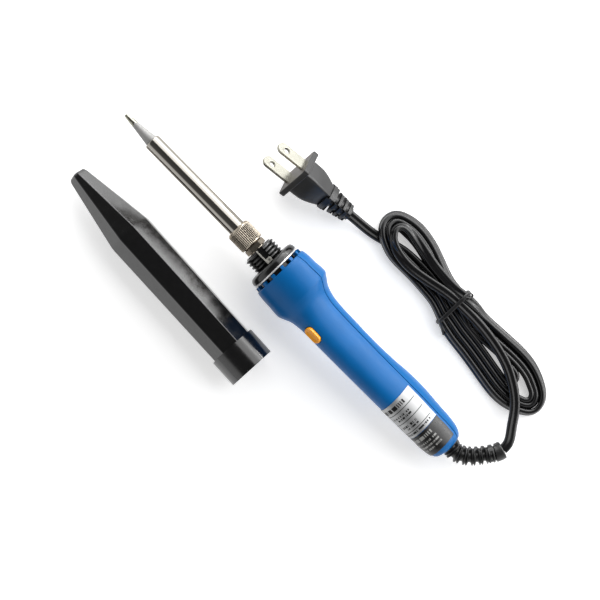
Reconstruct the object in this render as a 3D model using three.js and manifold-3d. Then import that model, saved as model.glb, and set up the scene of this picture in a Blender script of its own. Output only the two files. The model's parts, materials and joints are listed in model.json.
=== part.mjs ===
// Mains soldering iron with a boost button, its loose tip cap, and its corded two-pin plug.
// Millimetres. The iron lies on a table at z = 0: +X runs from the tip towards the tail,
// +Y towards the coiled cord, +Z up.
import * as THREE from 'three';
import * as BufferGeometryUtils from 'three/addons/utils/BufferGeometryUtils.js';
import Module from 'manifold-3d';

const wasm = await Module();
wasm.setup();

// ---------------------------------------------------------------- driving dimensions
const GAP = 0.3; // clearance between neighbouring pieces

const IRON_LENGTH = 220; // tip to tail, along the axis
const IRON_TIP = new THREE.Vector3(-110.2, 19.2, 23.65);
const IRON_DROP = THREE.MathUtils.degToRad(3.83); // it rests on its shoulder and its tail
const HANDLE_ROLL = THREE.MathUtils.degToRad(46); // the button faces up and away from the cord

// Stations along the iron, measured from the tip.
const BARREL_FRONT = 17.2;
const NUT_FRONT = 74.3;
const NUT_REAR = 84.85;
const NECK_REAR = 88.0;
const NOSE_FRONT = NECK_REAR + GAP;
const RIBS_REAR = 96.3;
const FLANGE_REAR = 100.0;
const RING_REAR = 101.1;
const HANDLE_FRONT = RING_REAR + GAP;
const SPIGOT_REAR = 110;
const TAIL_INNER = 217;

const BARREL_RADIUS = 4.3;
const BARREL_BORE = 3.75;
const HEATER_RADIUS = 1.75;
const NUT_RADIUS = 6.2;
const THREAD_RADIUS = 4.95;
const NECK_ACROSS_FLATS = 9.6;
const BUSH_BORE = 3.9;
const FLANGE_RADIUS = 13.5;
const SPIGOT_RADIUS = 11.3;

const WALL = 2.0; // handle shells
const BUTTON_X = 135.7;
const BUTTON_LENGTH = 9.0;
const BUTTON_WIDTH = 4.6;
const BUTTON_TOP = 15.6;
const BOARD_TOP = 2.0;
const SWITCH_TOP = 6.5;
const SHELL_SCREWS = [{ x: 118, under: -15.4 }, { x: 167.5, under: -10.1 }];
const CLAMP_X = 193;
const CLAMP_SCREW_Y = 4.9;

const CORD_WIDTH = 5.0; // flat two-core cord
const CORD_THICKNESS = 2.6;
const HANK_HEIGHT = 10.8;
const TIE_X = 63.8;

const CAP_LENGTH = 125.8;
const CAP_KNEE = 39; // where the cap starts to narrow
const CAP_COLLAR = 111.4;
const CAP_WALL = 1.6;
const COLLAR_RADIUS = 12.2;

const BLADE_SPACING = 12.7;
const BLADE_WIDTH = 6.35;
const BLADE_THICKNESS = 1.5;
const BLADE_REACH = 17.5;

// Handle outline: half-width to each side, height to the button side and to the under side.
const HANDLE_OUTLINE = [
  { x: 101.4, side: 14.2, top: 14.0, under: 14.0 },
  { x: 104.2, side: 15.2, top: 14.1, under: 14.3 },
  { x: 112.7, side: 15.9, top: 14.6, under: 14.9 },
  { x: 117.5, side: 16.0, top: 15.0, under: 15.4 },
  { x: 120.5, side: 14.6, top: 14.8, under: 14.0 },
  { x: 123.3, side: 12.4, top: 14.4, under: 12.4 },
  { x: 128.1, side: 10.4, top: 14.3, under: 10.9 },
  { x: 135.9, side: 9.4, top: 14.6, under: 9.9 },
  { x: 143.5, side: 9.2, top: 14.7, under: 9.8 },
  { x: 158.2, side: 9.1, top: 14.6, under: 9.4 },
  { x: 172.5, side: 9.1, top: 14.3, under: 10.6 },
  { x: 181.1, side: 9.2, top: 14.0, under: 12.0 },
  { x: 189.7, side: 9.3, top: 13.5, under: 12.4 },
  { x: 204.2, side: 8.9, top: 13.2, under: 11.2 },
  { x: 212.9, side: 8.7, top: 12.6, under: 10.2 },
  { x: 217.0, side: 8.0, top: 11.4, under: 9.2 },
  { x: 219.2, side: 6.9, top: 9.4, under: 8.0 },
  { x: 220.0, side: 6.2, top: 7.4, under: 7.0 },
];

const COLOURS = {
  blue: { color: 0x1f6db5, roughness: 0.45, metalness: 0 },
  orange: { color: 0xf2a32a, roughness: 0.4, metalness: 0 },
  black: { color: 0x151517, roughness: 0.35, metalness: 0 },
  rubber: { color: 0x1c1c1e, roughness: 0.55, metalness: 0 },
  steel: { color: 0xc9c6c0, roughness: 0.2, metalness: 1 },
  nickel: { color: 0xb9b1a0, roughness: 0.3, metalness: 1 },
  tip: { color: 0xa9a8a4, roughness: 0.5, metalness: 0.8 },
  ceramic: { color: 0xe8e4da, roughness: 0.6, metalness: 0 },
  board: { color: 0x2f6b3a, roughness: 0.5, metalness: 0 },
  silver: { color: 0xc8cacc, roughness: 0.35, metalness: 0.6 },
  red: { color: 0xa8322a, roughness: 0.5, metalness: 0 },
};

// ---------------------------------------------------------------- shape helpers

// Vertices merged by position only, without the collapsed triangles of points on an axis.
function welded(geometry) {
  const bare = geometry.clone();
  bare.deleteAttribute('normal');
  bare.deleteAttribute('uv');
  const merged = BufferGeometryUtils.mergeVertices(bare, 1e-4);
  const index = Array.from(merged.index.array);
  const kept = [];
  for (let i = 0; i < index.length; i += 3) {
    const [a, b, c] = index.slice(i, i + 3);
    if (a !== b && b !== c && c !== a) kept.push(a, b, c);
  }
  merged.setIndex(kept);
  return merged;
}

function toManifold(geometry) {
  const merged = welded(geometry);
  return new wasm.Manifold(new wasm.Mesh({
    numProp: 3,
    vertProperties: new Float32Array(merged.attributes.position.array),
    triVerts: new Uint32Array(merged.index.array),
  }));
}

function toGeometry(manifold) {
  const mesh = manifold.getMesh();
  const geometry = new THREE.BufferGeometry();
  geometry.setAttribute('position', new THREE.BufferAttribute(mesh.vertProperties, 3));
  geometry.setIndex(new THREE.BufferAttribute(mesh.triVerts, 1));
  return geometry;
}

function cut(geometry, ...tools) {
  const solid = tools.reduce((left, tool) => left.subtract(toManifold(tool)), toManifold(geometry));
  return toGeometry(solid);
}

function join(first, ...others) {
  const solid = others.reduce((left, other) => left.add(toManifold(other)), toManifold(first));
  return toGeometry(solid);
}

function overlapOf(first, second) {
  return toGeometry(toManifold(first).intersect(toManifold(second)));
}

function box(x0, x1, y0, y1, z0, z1) {
  const geometry = new THREE.BoxGeometry(x1 - x0, y1 - y0, z1 - z0);
  return geometry.translate((x0 + x1) / 2, (y0 + y1) / 2, (z0 + z1) / 2);
}

// A round bar along X, or with six sides a hexagon bar.
function bar(x0, x1, radius, sides = 24, y = 0, z = 0) {
  const geometry = new THREE.CylinderGeometry(radius, radius, x1 - x0, sides);
  return geometry.rotateZ(-Math.PI / 2).translate((x0 + x1) / 2, y, z);
}

// A round post along Z.
function post(x, y, z0, z1, radius, sides = 20) {
  const geometry = new THREE.CylinderGeometry(radius, radius, z1 - z0, sides);
  return geometry.rotateX(Math.PI / 2).translate(x, y, (z0 + z1) / 2);
}

// A profile of [x, radius] pairs turned about X. It runs along the outside with rising x.
function turned(profile, sides = 32) {
  const points = profile.map(([x, radius]) => new THREE.Vector2(radius, x));
  return new THREE.LatheGeometry(points, sides).rotateZ(-Math.PI / 2);
}

// A closed skin through rings of points, each ring turning from +Y to +Z as seen from its end.
function loft(rings) {
  const sides = rings[0].length;
  const points = rings.flat();
  const faces = [];
  for (let i = 0; i < rings.length - 1; i += 1) {
    for (let j = 0; j < sides; j += 1) {
      const here = i * sides + j;
      const beside = i * sides + ((j + 1) % sides);
      faces.push(here, beside, beside + sides, here, beside + sides, here + sides);
    }
  }
  const last = (rings.length - 1) * sides;
  const middle = (ring) => ring.reduce((sum, p) => sum.add(p), new THREE.Vector3()).divideScalar(sides);
  points.push(middle(rings[0]), middle(rings[rings.length - 1]));
  for (let j = 0; j < sides; j += 1) {
    const next = (j + 1) % sides;
    faces.push(points.length - 2, next, j, points.length - 1, last + j, last + next);
  }
  const geometry = new THREE.BufferGeometry().setFromPoints(points);
  geometry.setIndex(faces);
  return geometry;
}

// A superellipse ring across X. Its upper and lower halves can differ in height.
function ovalRing(x, side, top, under, power = 2, sides = 32) {
  const ring = [];
  for (let j = 0; j < sides; j += 1) {
    const angle = (2 * Math.PI * j) / sides;
    const c = Math.cos(angle);
    const s = Math.sin(angle);
    const height = s >= 0 ? top : under;
    const y = side * Math.sign(c) * Math.abs(c) ** (2 / power);
    const z = height * Math.sign(s) * Math.abs(s) ** (2 / power);
    ring.push(new THREE.Vector3(x, y, z));
  }
  return ring;
}

// A round bar that follows a curve, with its radius given along it from 0 to 1.
function swept(curve, steps, sides, radiusAt) {
  const frames = curve.computeFrenetFrames(steps, false);
  const rings = [];
  for (let i = 0; i <= steps; i += 1) {
    const centre = curve.getPointAt(i / steps);
    const radius = radiusAt(i / steps);
    const ring = [];
    for (let j = 0; j < sides; j += 1) {
      const angle = (2 * Math.PI * j) / sides;
      const across = frames.normals[i].clone().multiplyScalar(Math.cos(angle) * radius);
      const up = frames.binormals[i].clone().multiplyScalar(Math.sin(angle) * radius);
      ring.push(centre.clone().add(across).add(up));
    }
    rings.push(ring);
  }
  return loft(rings);
}

// A plain tube of an oval section along a curve.
function tube(curve, steps, halfWidth, halfThickness, sides) {
  const section = new THREE.Shape();
  for (let j = 0; j < sides; j += 1) {
    const angle = (2 * Math.PI * (j + 0.5)) / sides;
    const x = halfThickness * Math.cos(angle);
    const y = halfWidth * Math.sin(angle);
    if (j === 0) section.moveTo(x, y);
    else section.lineTo(x, y);
  }
  section.closePath();
  return new THREE.ExtrudeGeometry(section, { steps, extrudePath: curve, bevelEnabled: false });
}

function curveThrough(points) {
  return new THREE.CatmullRomCurve3(points.map(([x, y, z]) => new THREE.Vector3(x, y, z)));
}

// A slot-shaped outline, longer along X, extruded along Z.
function stadium(x, length, width, z0, z1) {
  const radius = width / 2;
  const straight = length / 2 - radius;
  const shape = new THREE.Shape();
  shape.absarc(straight, 0, radius, -Math.PI / 2, Math.PI / 2, false);
  shape.absarc(-straight, 0, radius, Math.PI / 2, 1.5 * Math.PI, false);
  const options = { depth: z1 - z0, bevelEnabled: false, curveSegments: 8 };
  return new THREE.ExtrudeGeometry(shape, options).translate(x, 0, z0);
}

function piece(parent, name, geometry, finish) {
  const mesh = new THREE.Mesh(geometry, new THREE.MeshStandardMaterial(COLOURS[finish]));
  mesh.name = name;
  parent.add(mesh);
}

// ---------------------------------------------------------------- groups

const part = new THREE.Group();

const iron = new THREE.Group();
iron.position.copy(IRON_TIP);
iron.rotation.y = IRON_DROP;
part.add(iron);

const handle = new THREE.Group(); // x along the iron, z towards the button
handle.rotation.x = HANDLE_ROLL;
iron.add(handle);

// A point on the iron's axis, in the table's frame.
function onAxis(x) {
  const run = new THREE.Vector3(Math.cos(IRON_DROP), 0, -Math.sin(IRON_DROP));
  return IRON_TIP.clone().addScaledVector(run, x);
}

// ---------------------------------------------------------------- tip, barrel and nut

function solderingTip() {
  const shoulder = BARREL_FRONT + 1.9;
  return turned([
    [0, 0], [0, 0.85], [0.5, 1.1], [6.4, 1.75], [BARREL_FRONT, 3.1], [shoulder, 3.1],
    [shoulder, 3.45], [46, 3.45], [46, 2.05], [15.2, 2.05], [14, 0],
  ]);
}

function barrelTube() {
  const rear = NUT_FRONT + 2.3;
  return turned([
    [BARREL_FRONT, 3.4], [BARREL_FRONT, 3.6], [BARREL_FRONT + 0.7, 4.02], [rear - 1.4, BARREL_RADIUS],
    [rear - 1.4, 5.0], [rear, 5.0], [rear, BARREL_BORE], [BARREL_FRONT + 1.4, BARREL_BORE],
    [BARREL_FRONT + 1.4, 3.4], [BARREL_FRONT, 3.4],
  ]);
}

function barrelNut() {
  const mouth = BARREL_RADIUS + GAP;
  const thread = THREAD_RADIUS + 0.35;
  return turned([
    [NUT_FRONT, mouth], [NUT_FRONT, 5.2], [NUT_FRONT + 1.2, NUT_RADIUS], [NUT_REAR - 0.5, NUT_RADIUS],
    [NUT_REAR, 5.7], [NUT_REAR, thread], [NUT_FRONT + 0.6, thread], [NUT_FRONT + 0.6, mouth],
    [NUT_FRONT, mouth],
  ], 40);
}

function threadedBush() {
  const threadFront = NUT_FRONT + 2.6;
  const body = bar(threadFront, NUT_REAR + 1, THREAD_RADIUS);
  const hexRadius = NECK_ACROSS_FLATS / Math.sqrt(3);
  const hexagon = bar(NUT_REAR + GAP, NECK_REAR, hexRadius, 6);
  const spigot = bar(NECK_REAR - 1, 106, 4.6);
  return cut(join(body, hexagon, spigot), bar(threadFront - 1, 107, BUSH_BORE));
}

function ceramicHeater() {
  return turned([
    [15.8, 0], [15.8, 1.4], [16.2, HEATER_RADIUS], [86, HEATER_RADIUS], [86, 3.5], [89, 3.5], [89, 0],
  ], 20);
}

// ---------------------------------------------------------------- nose of the handle

function noseInsulator() {
  const ribs = 4;
  const pitch = (RIBS_REAR - NOSE_FRONT - 0.6) / ribs;
  const profile = [[NOSE_FRONT, 4.9], [NOSE_FRONT, 7.0], [NOSE_FRONT + 0.6, 7.4]];
  for (let i = 0; i < ribs; i += 1) {
    const x = NOSE_FRONT + 0.6 + i * pitch;
    profile.push([x + 0.2 * pitch, 8.5], [x + 0.75 * pitch, 8.5], [x + pitch, 7.4]);
  }
  profile.push(
    [RIBS_REAR + 0.3, 10.2], [RIBS_REAR + 1.0, 11.5], [RIBS_REAR + 2.3, 12.9], [FLANGE_REAR, FLANGE_RADIUS],
    [FLANGE_REAR, SPIGOT_RADIUS], [SPIGOT_REAR, SPIGOT_RADIUS], [SPIGOT_REAR, 9.0], [103, 9.0],
    [103, 4.9], [NOSE_FRONT, 4.9],
  );
  const slot = box(NOSE_FRONT - 1, RIBS_REAR + 0.4, -1.6, 2.1, 5.6, 12);
  return cut(turned(profile, 32), slot);
}

// A thin earth strip that stands in the nose's slot, with a small lug at its rear end.
function earthStrip() {
  const strip = box(NOSE_FRONT + 0.2, RIBS_REAR, -1.3, -0.7, 5.9, 8.5);
  const lug = box(RIBS_REAR - 1.9, RIBS_REAR, -1.0, 1.7, 6.8, 7.6);
  return join(strip, lug);
}

function retainingRing() {
  const front = FLANGE_REAR + GAP;
  const inner = SPIGOT_RADIUS + GAP;
  return turned([
    [front, inner], [front, FLANGE_RADIUS], [RING_REAR, FLANGE_RADIUS + 0.1], [RING_REAR, inner],
    [front, inner],
  ], 40);
}

function bushRetainer() {
  return cut(bar(103.4, 105.4, 7.6), bar(103, 106, 4.9));
}

// ---------------------------------------------------------------- handle shells

// The whole handle as one solid, grown or shrunk by an offset from its outline.
function handleSolid(offset, front, rear) {
  const rings = [];
  const first = HANDLE_OUTLINE[0];
  const section = (x, s) => ovalRing(x, s.side + offset, s.top + offset, s.under + offset);
  if (front < first.x) rings.push(section(front, first));
  for (const s of HANDLE_OUTLINE) if (s.x <= rear) rings.push(section(s.x, s));
  return loft(rings);
}

function ventNotches() {
  const count = 18;
  const notches = [];
  for (let i = 0; i < count; i += 1) {
    const notch = box(HANDLE_FRONT - 1, HANDLE_FRONT + 1.7, -1.1, 1.1, 10, 18);
    notches.push(notch.rotateX(((i + 0.5) * 2 * Math.PI) / count));
  }
  return notches;
}

function hollowHandle() {
  const cavity = handleSolid(-WALL, HANDLE_FRONT - 1, TAIL_INNER);
  return cut(handleSolid(0, HANDLE_FRONT, IRON_LENGTH), cavity, bar(TAIL_INNER - 1, 221, 5.2), ...ventNotches());
}

function handleTopShell(hollow) {
  const half = overlapOf(hollow, box(100, 222, -20, 20, GAP / 2, 20));
  const inside = handleSolid(-WALL / 2, HANDLE_FRONT, TAIL_INNER);
  const posts = SHELL_SCREWS.map(({ x }) => overlapOf(post(x, 0, GAP / 2, 20, 2.7), inside));
  const pilots = SHELL_SCREWS.map(({ x }) => post(x, 0, -1, 9, 1.4));
  const buttonHole = stadium(BUTTON_X, BUTTON_LENGTH + 2 * GAP, BUTTON_WIDTH + 2 * GAP, 8, 20);
  return cut(join(half, ...posts), ...pilots, buttonHole);
}

function handleBottomShell(hollow) {
  const half = overlapOf(hollow, box(100, 222, -20, 20, -20, -GAP / 2));
  const inside = handleSolid(-WALL / 2, HANDLE_FRONT, TAIL_INNER);
  const inShell = (geometry) => overlapOf(geometry, inside);
  const bosses = SHELL_SCREWS.map(({ x }) => inShell(post(x, 0, -20, -GAP / 2, 3.4)));
  const saddle = inShell(box(CLAMP_X - 1, CLAMP_X + 1, -8, 8, -20, -1.7));
  const clampPosts = [-1, 1].map((side) => inShell(post(CLAMP_X, side * CLAMP_SCREW_Y, -20, 1.3, 2.0)));
  const holes = SHELL_SCREWS.flatMap(({ x, under }) => [
    post(x, 0, -22, under + 3.6, 2.6),
    post(x, 0, -22, 1, 1.4),
  ]);
  const clampPilots = [-1, 1].map((side) => post(CLAMP_X, side * CLAMP_SCREW_Y, -7, 3, 1.2, 12));
  return cut(join(half, ...bosses, saddle, ...clampPosts), ...holes, ...clampPilots);
}

function shellScrew({ x, under }) {
  const head = post(x, 0, under + 1.1, under + 3.3, 2.3, 16);
  const shank = post(x, 0, under + 3, 8, 1.1, 12);
  const slot = box(x - 3, x + 3, -0.3, 0.3, under, under + 1.8);
  return cut(join(head, shank), slot);
}

// A thin plate that follows the button shell, from near one parting line to the other.
function platePatch(x0, x1) {
  const layer = cut(handleSolid(0.55, 100, IRON_LENGTH), handleSolid(0.3, 99, IRON_LENGTH));
  return overlapOf(layer, box(x0, x1, -20, 20, 1.8, 20));
}

// ---------------------------------------------------------------- button and electrics

function boostButton() {
  const cap = stadium(BUTTON_X, BUTTON_LENGTH, BUTTON_WIDTH, 10.9, BUTTON_TOP);
  const dish = new THREE.SphereGeometry(9, 24, 16).scale(1, 0.5, 1);
  dish.translate(BUTTON_X, 0, BUTTON_TOP + 8.55);
  const lip = box(BUTTON_X - 6.2, BUTTON_X + 6.2, -2.2, 2.2, 10.1, 11.1);
  const stem = post(BUTTON_X, 0, 8.6, 10.3, 1.5);
  return join(cut(cap, dish), lip, stem);
}

function buttonSpring() {
  const turns = 3;
  const points = [];
  for (let i = 0; i <= turns * 12; i += 1) {
    const angle = (i / 12) * 2 * Math.PI;
    const height = SWITCH_TOP + 0.7 + (i / (turns * 12)) * 2.2;
    points.push([BUTTON_X + 2.3 * Math.cos(angle), 2.3 * Math.sin(angle), height]);
  }
  return swept(curveThrough(points), turns * 14, 6, () => 0.22);
}

function switchBody() {
  const body = box(BUTTON_X - 4.5, BUTTON_X + 4.5, -4.3, 4.3, BOARD_TOP + GAP, SWITCH_TOP);
  return cut(body, post(BUTTON_X, 0, 3.2, 8, 1.7));
}

function diode() {
  const body = bar(147, 152, 1.3, 16, 0, 4.2);
  const wire = box(145, 154, -0.3, 0.3, 3.9, 4.5);
  const legs = [145, 153.4].map((x) => box(x, x + 0.6, -0.3, 0.3, BOARD_TOP + GAP, 4.5));
  return join(body, wire, ...legs);
}

function heaterLead(side) {
  return tube(curveThrough([
    [89.4, side * 1.7, 0], [100, side * 1.9, 0], [109, side * 3.0, 0], [120, side * 4.6, 0.8],
    [126, side * 4.6, 1.3], [129.6, side * 4.6, 1.3],
  ]), 14, 0.7, 0.7, 6);
}

function supplyWire(side) {
  return tube(curveThrough([
    [162.4, side * 4.6, 1.3], [167.5, side * 4.8, 0.6], [171.7, side * 3.2, 0],
  ]), 8, 0.7, 0.7, 6);
}

function crimpSleeve(side) {
  return bar(172, 179, 1.5, 12, side * 3.2, 0);
}

function cordCore(side) {
  return tube(curveThrough([
    [179.3, side * 3.2, 0], [182.5, side * 2.4, 0], [185.7, side * 1.3, 0],
  ]), 5, 0.9, 0.9, 6);
}

function innerCord() {
  const path = new THREE.LineCurve3(new THREE.Vector3(186, 0, 0), new THREE.Vector3(213.6, 0, 0));
  return tube(path, 1, CORD_WIDTH / 2, CORD_THICKNESS / 2, 10);
}

function cordClamp() {
  const clamp = box(CLAMP_X - 2.6, CLAMP_X + 2.6, -6.6, 6.6, 1.6, 3.6);
  return cut(clamp, ...[-1, 1].map((side) => post(CLAMP_X, side * CLAMP_SCREW_Y, 0, 5, 1.4, 12)));
}

function clampScrew(side) {
  const head = post(CLAMP_X, side * CLAMP_SCREW_Y, 3.9, 5.3, 1.5, 12);
  return join(head, post(CLAMP_X, side * CLAMP_SCREW_Y, -5.5, 4.5, 0.9, 12));
}

// ---------------------------------------------------------------- cord, guard, hank and tie

const GUARD_ROUTE = [
  [114.5, 19.0, 8.7], [118.9, 21.2, 8.9], [122.6, 24.9, 9.2], [126.6, 30.6, 9.6], [128.2, 33.4, 9.8],
  [129.0, 36.0, 9.9],
];
const LEAD_ROUTE = [
  [129.15, 36.6, 9.9], [129.3, 38.4, 9.9], [128.3, 42.0, 9.7], [126.4, 45.6, 9.2], [124.6, 49.0, 8.6],
  [123.4, 51.9, 8.0],
];
const TAIL_ROUTE = [[7.4, 66.6, 3.2], [5.0, 65.2, 3.4], [2.4, 64.2, 3.9], [-0.2, 63.4, 4.4]];

function cordGuard() {
  const start = [213.9, 216.5, 220].map((x) => onAxis(x));
  const curve = new THREE.CatmullRomCurve3([...start, ...GUARD_ROUTE.map((p) => new THREE.Vector3(...p))]);
  const flange = 2.4 / curve.getLength();
  const radiusAt = (t) => (t < flange ? 5.6 : 4.9 - 0.5 * t);
  return swept(curve, 26, 16, radiusAt);
}

// Outer shape of the coiled cord: two long loops drawn together at the tie.
function hankOutline() {
  return [
    [65, 76.2], [50, 78.2], [36, 82.6], [22, 84.6], [12, 81.6], [8.2, 75], [9.6, 68.4], [18, 63.2],
    [32, 61.2], [48, 60.6], [63, 57.6], [76, 53.2], [90, 51.4], [106, 49.2], [119, 50.6], [127, 56],
    [130, 63], [126.6, 70.6], [117, 75.6], [104, 77.2], [84, 75.6],
  ].map(([x, y]) => new THREE.Vector2(x, y));
}

function cordHank() {
  const spline = new THREE.CatmullRomCurve3(hankOutline().map((p) => new THREE.Vector3(p.x, p.y, 0)), true);
  const outline = spline.getPoints(63).slice(0, 63).map((p) => new THREE.Vector2(p.x, p.y));
  const options = { depth: HANK_HEIGHT, bevelEnabled: false };
  const hank = new THREE.ExtrudeGeometry(new THREE.Shape(outline), options);
  return cut(hank, box(TIE_X - 1.5, TIE_X + 1.5, 50, 90, -1, 2.1));
}

// A wire tie: a flat band round the hank's waist, with two short twisted ends.
function cordTie() {
  const band = box(TIE_X - 0.9, TIE_X + 0.9, 55.0, 78.6, 0.1, HANK_HEIGHT + 1.8);
  const inside = box(TIE_X - 2, TIE_X + 2, 56.4, 77.2, 1.6, HANK_HEIGHT + 0.3);
  const upperEnd = bar(TIE_X, TIE_X + 4, 0.7, 8, 77.9, HANK_HEIGHT + 1.05);
  const lowerEnd = bar(TIE_X, TIE_X + 6, 0.7, 8, 56.0, HANK_HEIGHT + 1.05);
  return join(cut(band, inside), upperEnd, lowerEnd);
}

// ---------------------------------------------------------------- plug

const plug = new THREE.Group(); // x from the face towards the cord, y across the two blades
plug.position.set(-33.9, 58.6, 12.3);
plug.rotation.set(
  THREE.MathUtils.degToRad(48.6), THREE.MathUtils.degToRad(12.4), THREE.MathUtils.degToRad(8.3), 'ZYX',
);
part.add(plug);

const PLUG_OUTLINE = [
  { x: 0, across: 12.2, thick: 6.2 }, { x: 0.6, across: 12.9, thick: 6.8 }, { x: 3.0, across: 13.0, thick: 6.9 },
  { x: 3.8, across: 10.2, thick: 6.6 }, { x: 8, across: 9.8, thick: 6.7 }, { x: 13, across: 8.8, thick: 6.4 },
  { x: 18, across: 6.8, thick: 5.5 }, { x: 21.4, across: 5.2, thick: 4.8 },
];

function plugBody() {
  const rings = PLUG_OUTLINE.map((s) => ovalRing(s.x, s.across, s.thick, s.thick, 3.2, 24));
  const ribs = [{ x: 22.2, wide: 2.4, r: 5.6 }, { x: 25.8, wide: 1.6, r: 4.9 }, { x: 28.6, wide: 1.6, r: 4.6 },
    { x: 31.4, wide: 2.1, r: 4.2 }];
  for (const rib of ribs) {
    rings.push(ovalRing(rib.x - 0.3, 3.4, 3.4, 3.4, 2, 24));
    rings.push(ovalRing(rib.x, rib.r, rib.r, rib.r, 2, 24));
    rings.push(ovalRing(rib.x + rib.wide, rib.r, rib.r, rib.r, 2, 24));
    rings.push(ovalRing(rib.x + rib.wide + 0.3, 3.4, 3.4, 3.4, 2, 24));
  }
  rings.pop();
  const pockets = [-1, 1].map((side) => {
    const y = (side * BLADE_SPACING) / 2;
    const halfThick = BLADE_THICKNESS / 2 + GAP;
    const halfWide = BLADE_WIDTH / 2 + GAP;
    return box(-1, 3.6, y - halfThick, y + halfThick, -halfWide, halfWide);
  });
  return cut(loft(rings), ...pockets);
}

function plugBlade(side) {
  const half = BLADE_WIDTH / 2;
  const shape = new THREE.Shape();
  shape.moveTo(3.3, -half);
  shape.lineTo(3.3, half);
  shape.lineTo(-BLADE_REACH + 2, half);
  shape.quadraticCurveTo(-BLADE_REACH, half, -BLADE_REACH, 0);
  shape.quadraticCurveTo(-BLADE_REACH, -half, -BLADE_REACH + 2, -half);
  shape.closePath();
  const hole = new THREE.Path();
  hole.absarc(-12.6, 0, 1.55, 0, 2 * Math.PI, true);
  shape.holes.push(hole);
  const options = { depth: BLADE_THICKNESS, bevelEnabled: false, curveSegments: 8 };
  const blade = new THREE.ExtrudeGeometry(shape, options).rotateX(Math.PI / 2);
  return blade.translate(0, (side * BLADE_SPACING) / 2 + BLADE_THICKNESS / 2, 0);
}

// ---------------------------------------------------------------- tip cap

const cap = new THREE.Group(); // x from the narrow end towards the mouth
cap.position.set(-109.2, -17.6, 10.46);
cap.rotation.set(0, THREE.MathUtils.degToRad(-0.9), THREE.MathUtils.degToRad(-2.3), 'ZYX');
part.add(cap);

// An octagon across X whose four main facets can be narrower than the four between them.
function octagonRing(x, reach, facet) {
  const half = facet * reach;
  const corners = [
    [reach, half], [half, reach], [-half, reach], [-reach, half],
    [-reach, -half], [-half, -reach], [half, -reach], [reach, -half],
  ];
  return corners.map(([y, z]) => new THREE.Vector3(x, y, z));
}

const CAP_OUTLINE = [
  { x: 0, reach: 3.4, facet: 0.26 }, { x: 0.8, reach: 4.5, facet: 0.26 }, { x: 2.4, reach: 5.0, facet: 0.26 },
  { x: CAP_KNEE, reach: 10.95, facet: 0.4 }, { x: CAP_COLLAR + 1, reach: 10.5, facet: 0.414 },
];

function capShell() {
  const body = loft(CAP_OUTLINE.map((s) => octagonRing(s.x, s.reach, s.facet)));
  const collar = turned([
    [CAP_COLLAR, 0], [CAP_COLLAR, COLLAR_RADIUS - 0.5], [CAP_COLLAR + 0.5, COLLAR_RADIUS],
    [CAP_LENGTH, COLLAR_RADIUS], [CAP_LENGTH, 0],
  ], 32);
  const inner = CAP_OUTLINE.slice(2).map((s) => octagonRing(s.x, s.reach - CAP_WALL, s.facet));
  const mouth = turned([
    [CAP_COLLAR + 0.6, 0], [CAP_COLLAR + 0.6, COLLAR_RADIUS - 1.2], [CAP_LENGTH + 1, COLLAR_RADIUS - 1.2],
    [CAP_LENGTH + 1, 0],
  ], 32);
  return cut(join(body, collar), loft(inner), mouth);
}

// ---------------------------------------------------------------- assembly

piece(iron, 'soldering_tip', solderingTip(), 'tip');
piece(iron, 'barrel_tube', barrelTube(), 'steel');
piece(iron, 'barrel_nut', barrelNut(), 'nickel');
piece(iron, 'threaded_bush', threadedBush(), 'nickel');
piece(iron, 'ceramic_heater', ceramicHeater(), 'ceramic');
piece(iron, 'nose_insulator', noseInsulator(), 'black');
piece(iron, 'earth_strip', earthStrip(), 'nickel');
piece(iron, 'retaining_ring', retainingRing(), 'steel');
piece(iron, 'bush_retainer', bushRetainer(), 'steel');

const hollow = hollowHandle();
piece(handle, 'handle_top_shell', handleTopShell(hollow), 'blue');
piece(handle, 'handle_bottom_shell', handleBottomShell(hollow), 'blue');
piece(handle, 'rating_plate', platePatch(183.9, 203.5), 'silver');
piece(handle, 'caution_plate', platePatch(203.8, 216.2), 'black');
piece(handle, 'boost_button', boostButton(), 'orange');
piece(handle, 'button_spring', buttonSpring(), 'steel');
piece(handle, 'switch_plunger', post(BUTTON_X, 0, 4.9, 8.3, 1.4), 'red');
piece(handle, 'switch_body', switchBody(), 'black');
piece(handle, 'circuit_board', box(130, 162, -5.8, 5.8, BOARD_TOP - 1.5, BOARD_TOP), 'board');
piece(handle, 'rectifier_diode', diode(), 'black');
SHELL_SCREWS.forEach((screw, i) => piece(handle, `shell_screw_${i + 1}`, shellScrew(screw), 'steel'));
[-1, 1].forEach((side, i) => {
  piece(handle, `heater_lead_${i + 1}`, heaterLead(side), 'red');
  piece(handle, `supply_wire_${i + 1}`, supplyWire(side), 'black');
  piece(handle, `crimp_sleeve_${i + 1}`, crimpSleeve(side), 'nickel');
  piece(handle, `cord_core_${i + 1}`, cordCore(side), 'rubber');
  piece(handle, `clamp_screw_${i + 1}`, clampScrew(side), 'steel');
});
piece(handle, 'cord_clamp', cordClamp(), 'black');
piece(handle, 'cord_inside', innerCord(), 'rubber');

piece(part, 'cord_guard', cordGuard(), 'rubber');
piece(part, 'cord_lead', tube(curveThrough(LEAD_ROUTE), 6, CORD_WIDTH / 2, CORD_WIDTH / 2, 8), 'rubber');
piece(part, 'cord_hank', cordHank(), 'rubber');
piece(part, 'cord_tie', cordTie(), 'rubber');
piece(part, 'cord_tail', tube(curveThrough(TAIL_ROUTE), 3, CORD_WIDTH / 2, CORD_WIDTH / 2, 8), 'rubber');

piece(plug, 'plug_body', plugBody(), 'rubber');
piece(plug, 'plug_blade_1', plugBlade(-1), 'nickel');
piece(plug, 'plug_blade_2', plugBlade(1), 'nickel');

piece(cap, 'tip_cap', capShell(), 'black');

export default part;
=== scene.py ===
"""Looks of a mains soldering iron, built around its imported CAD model.

The frame is the model's own: +X from the tip to the tail, +Y towards the coiled cord, +Z up, and the
table at z = 0. Shapes are written in millimetres, each piece in its own axes, and placed in metres.
"""

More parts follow.
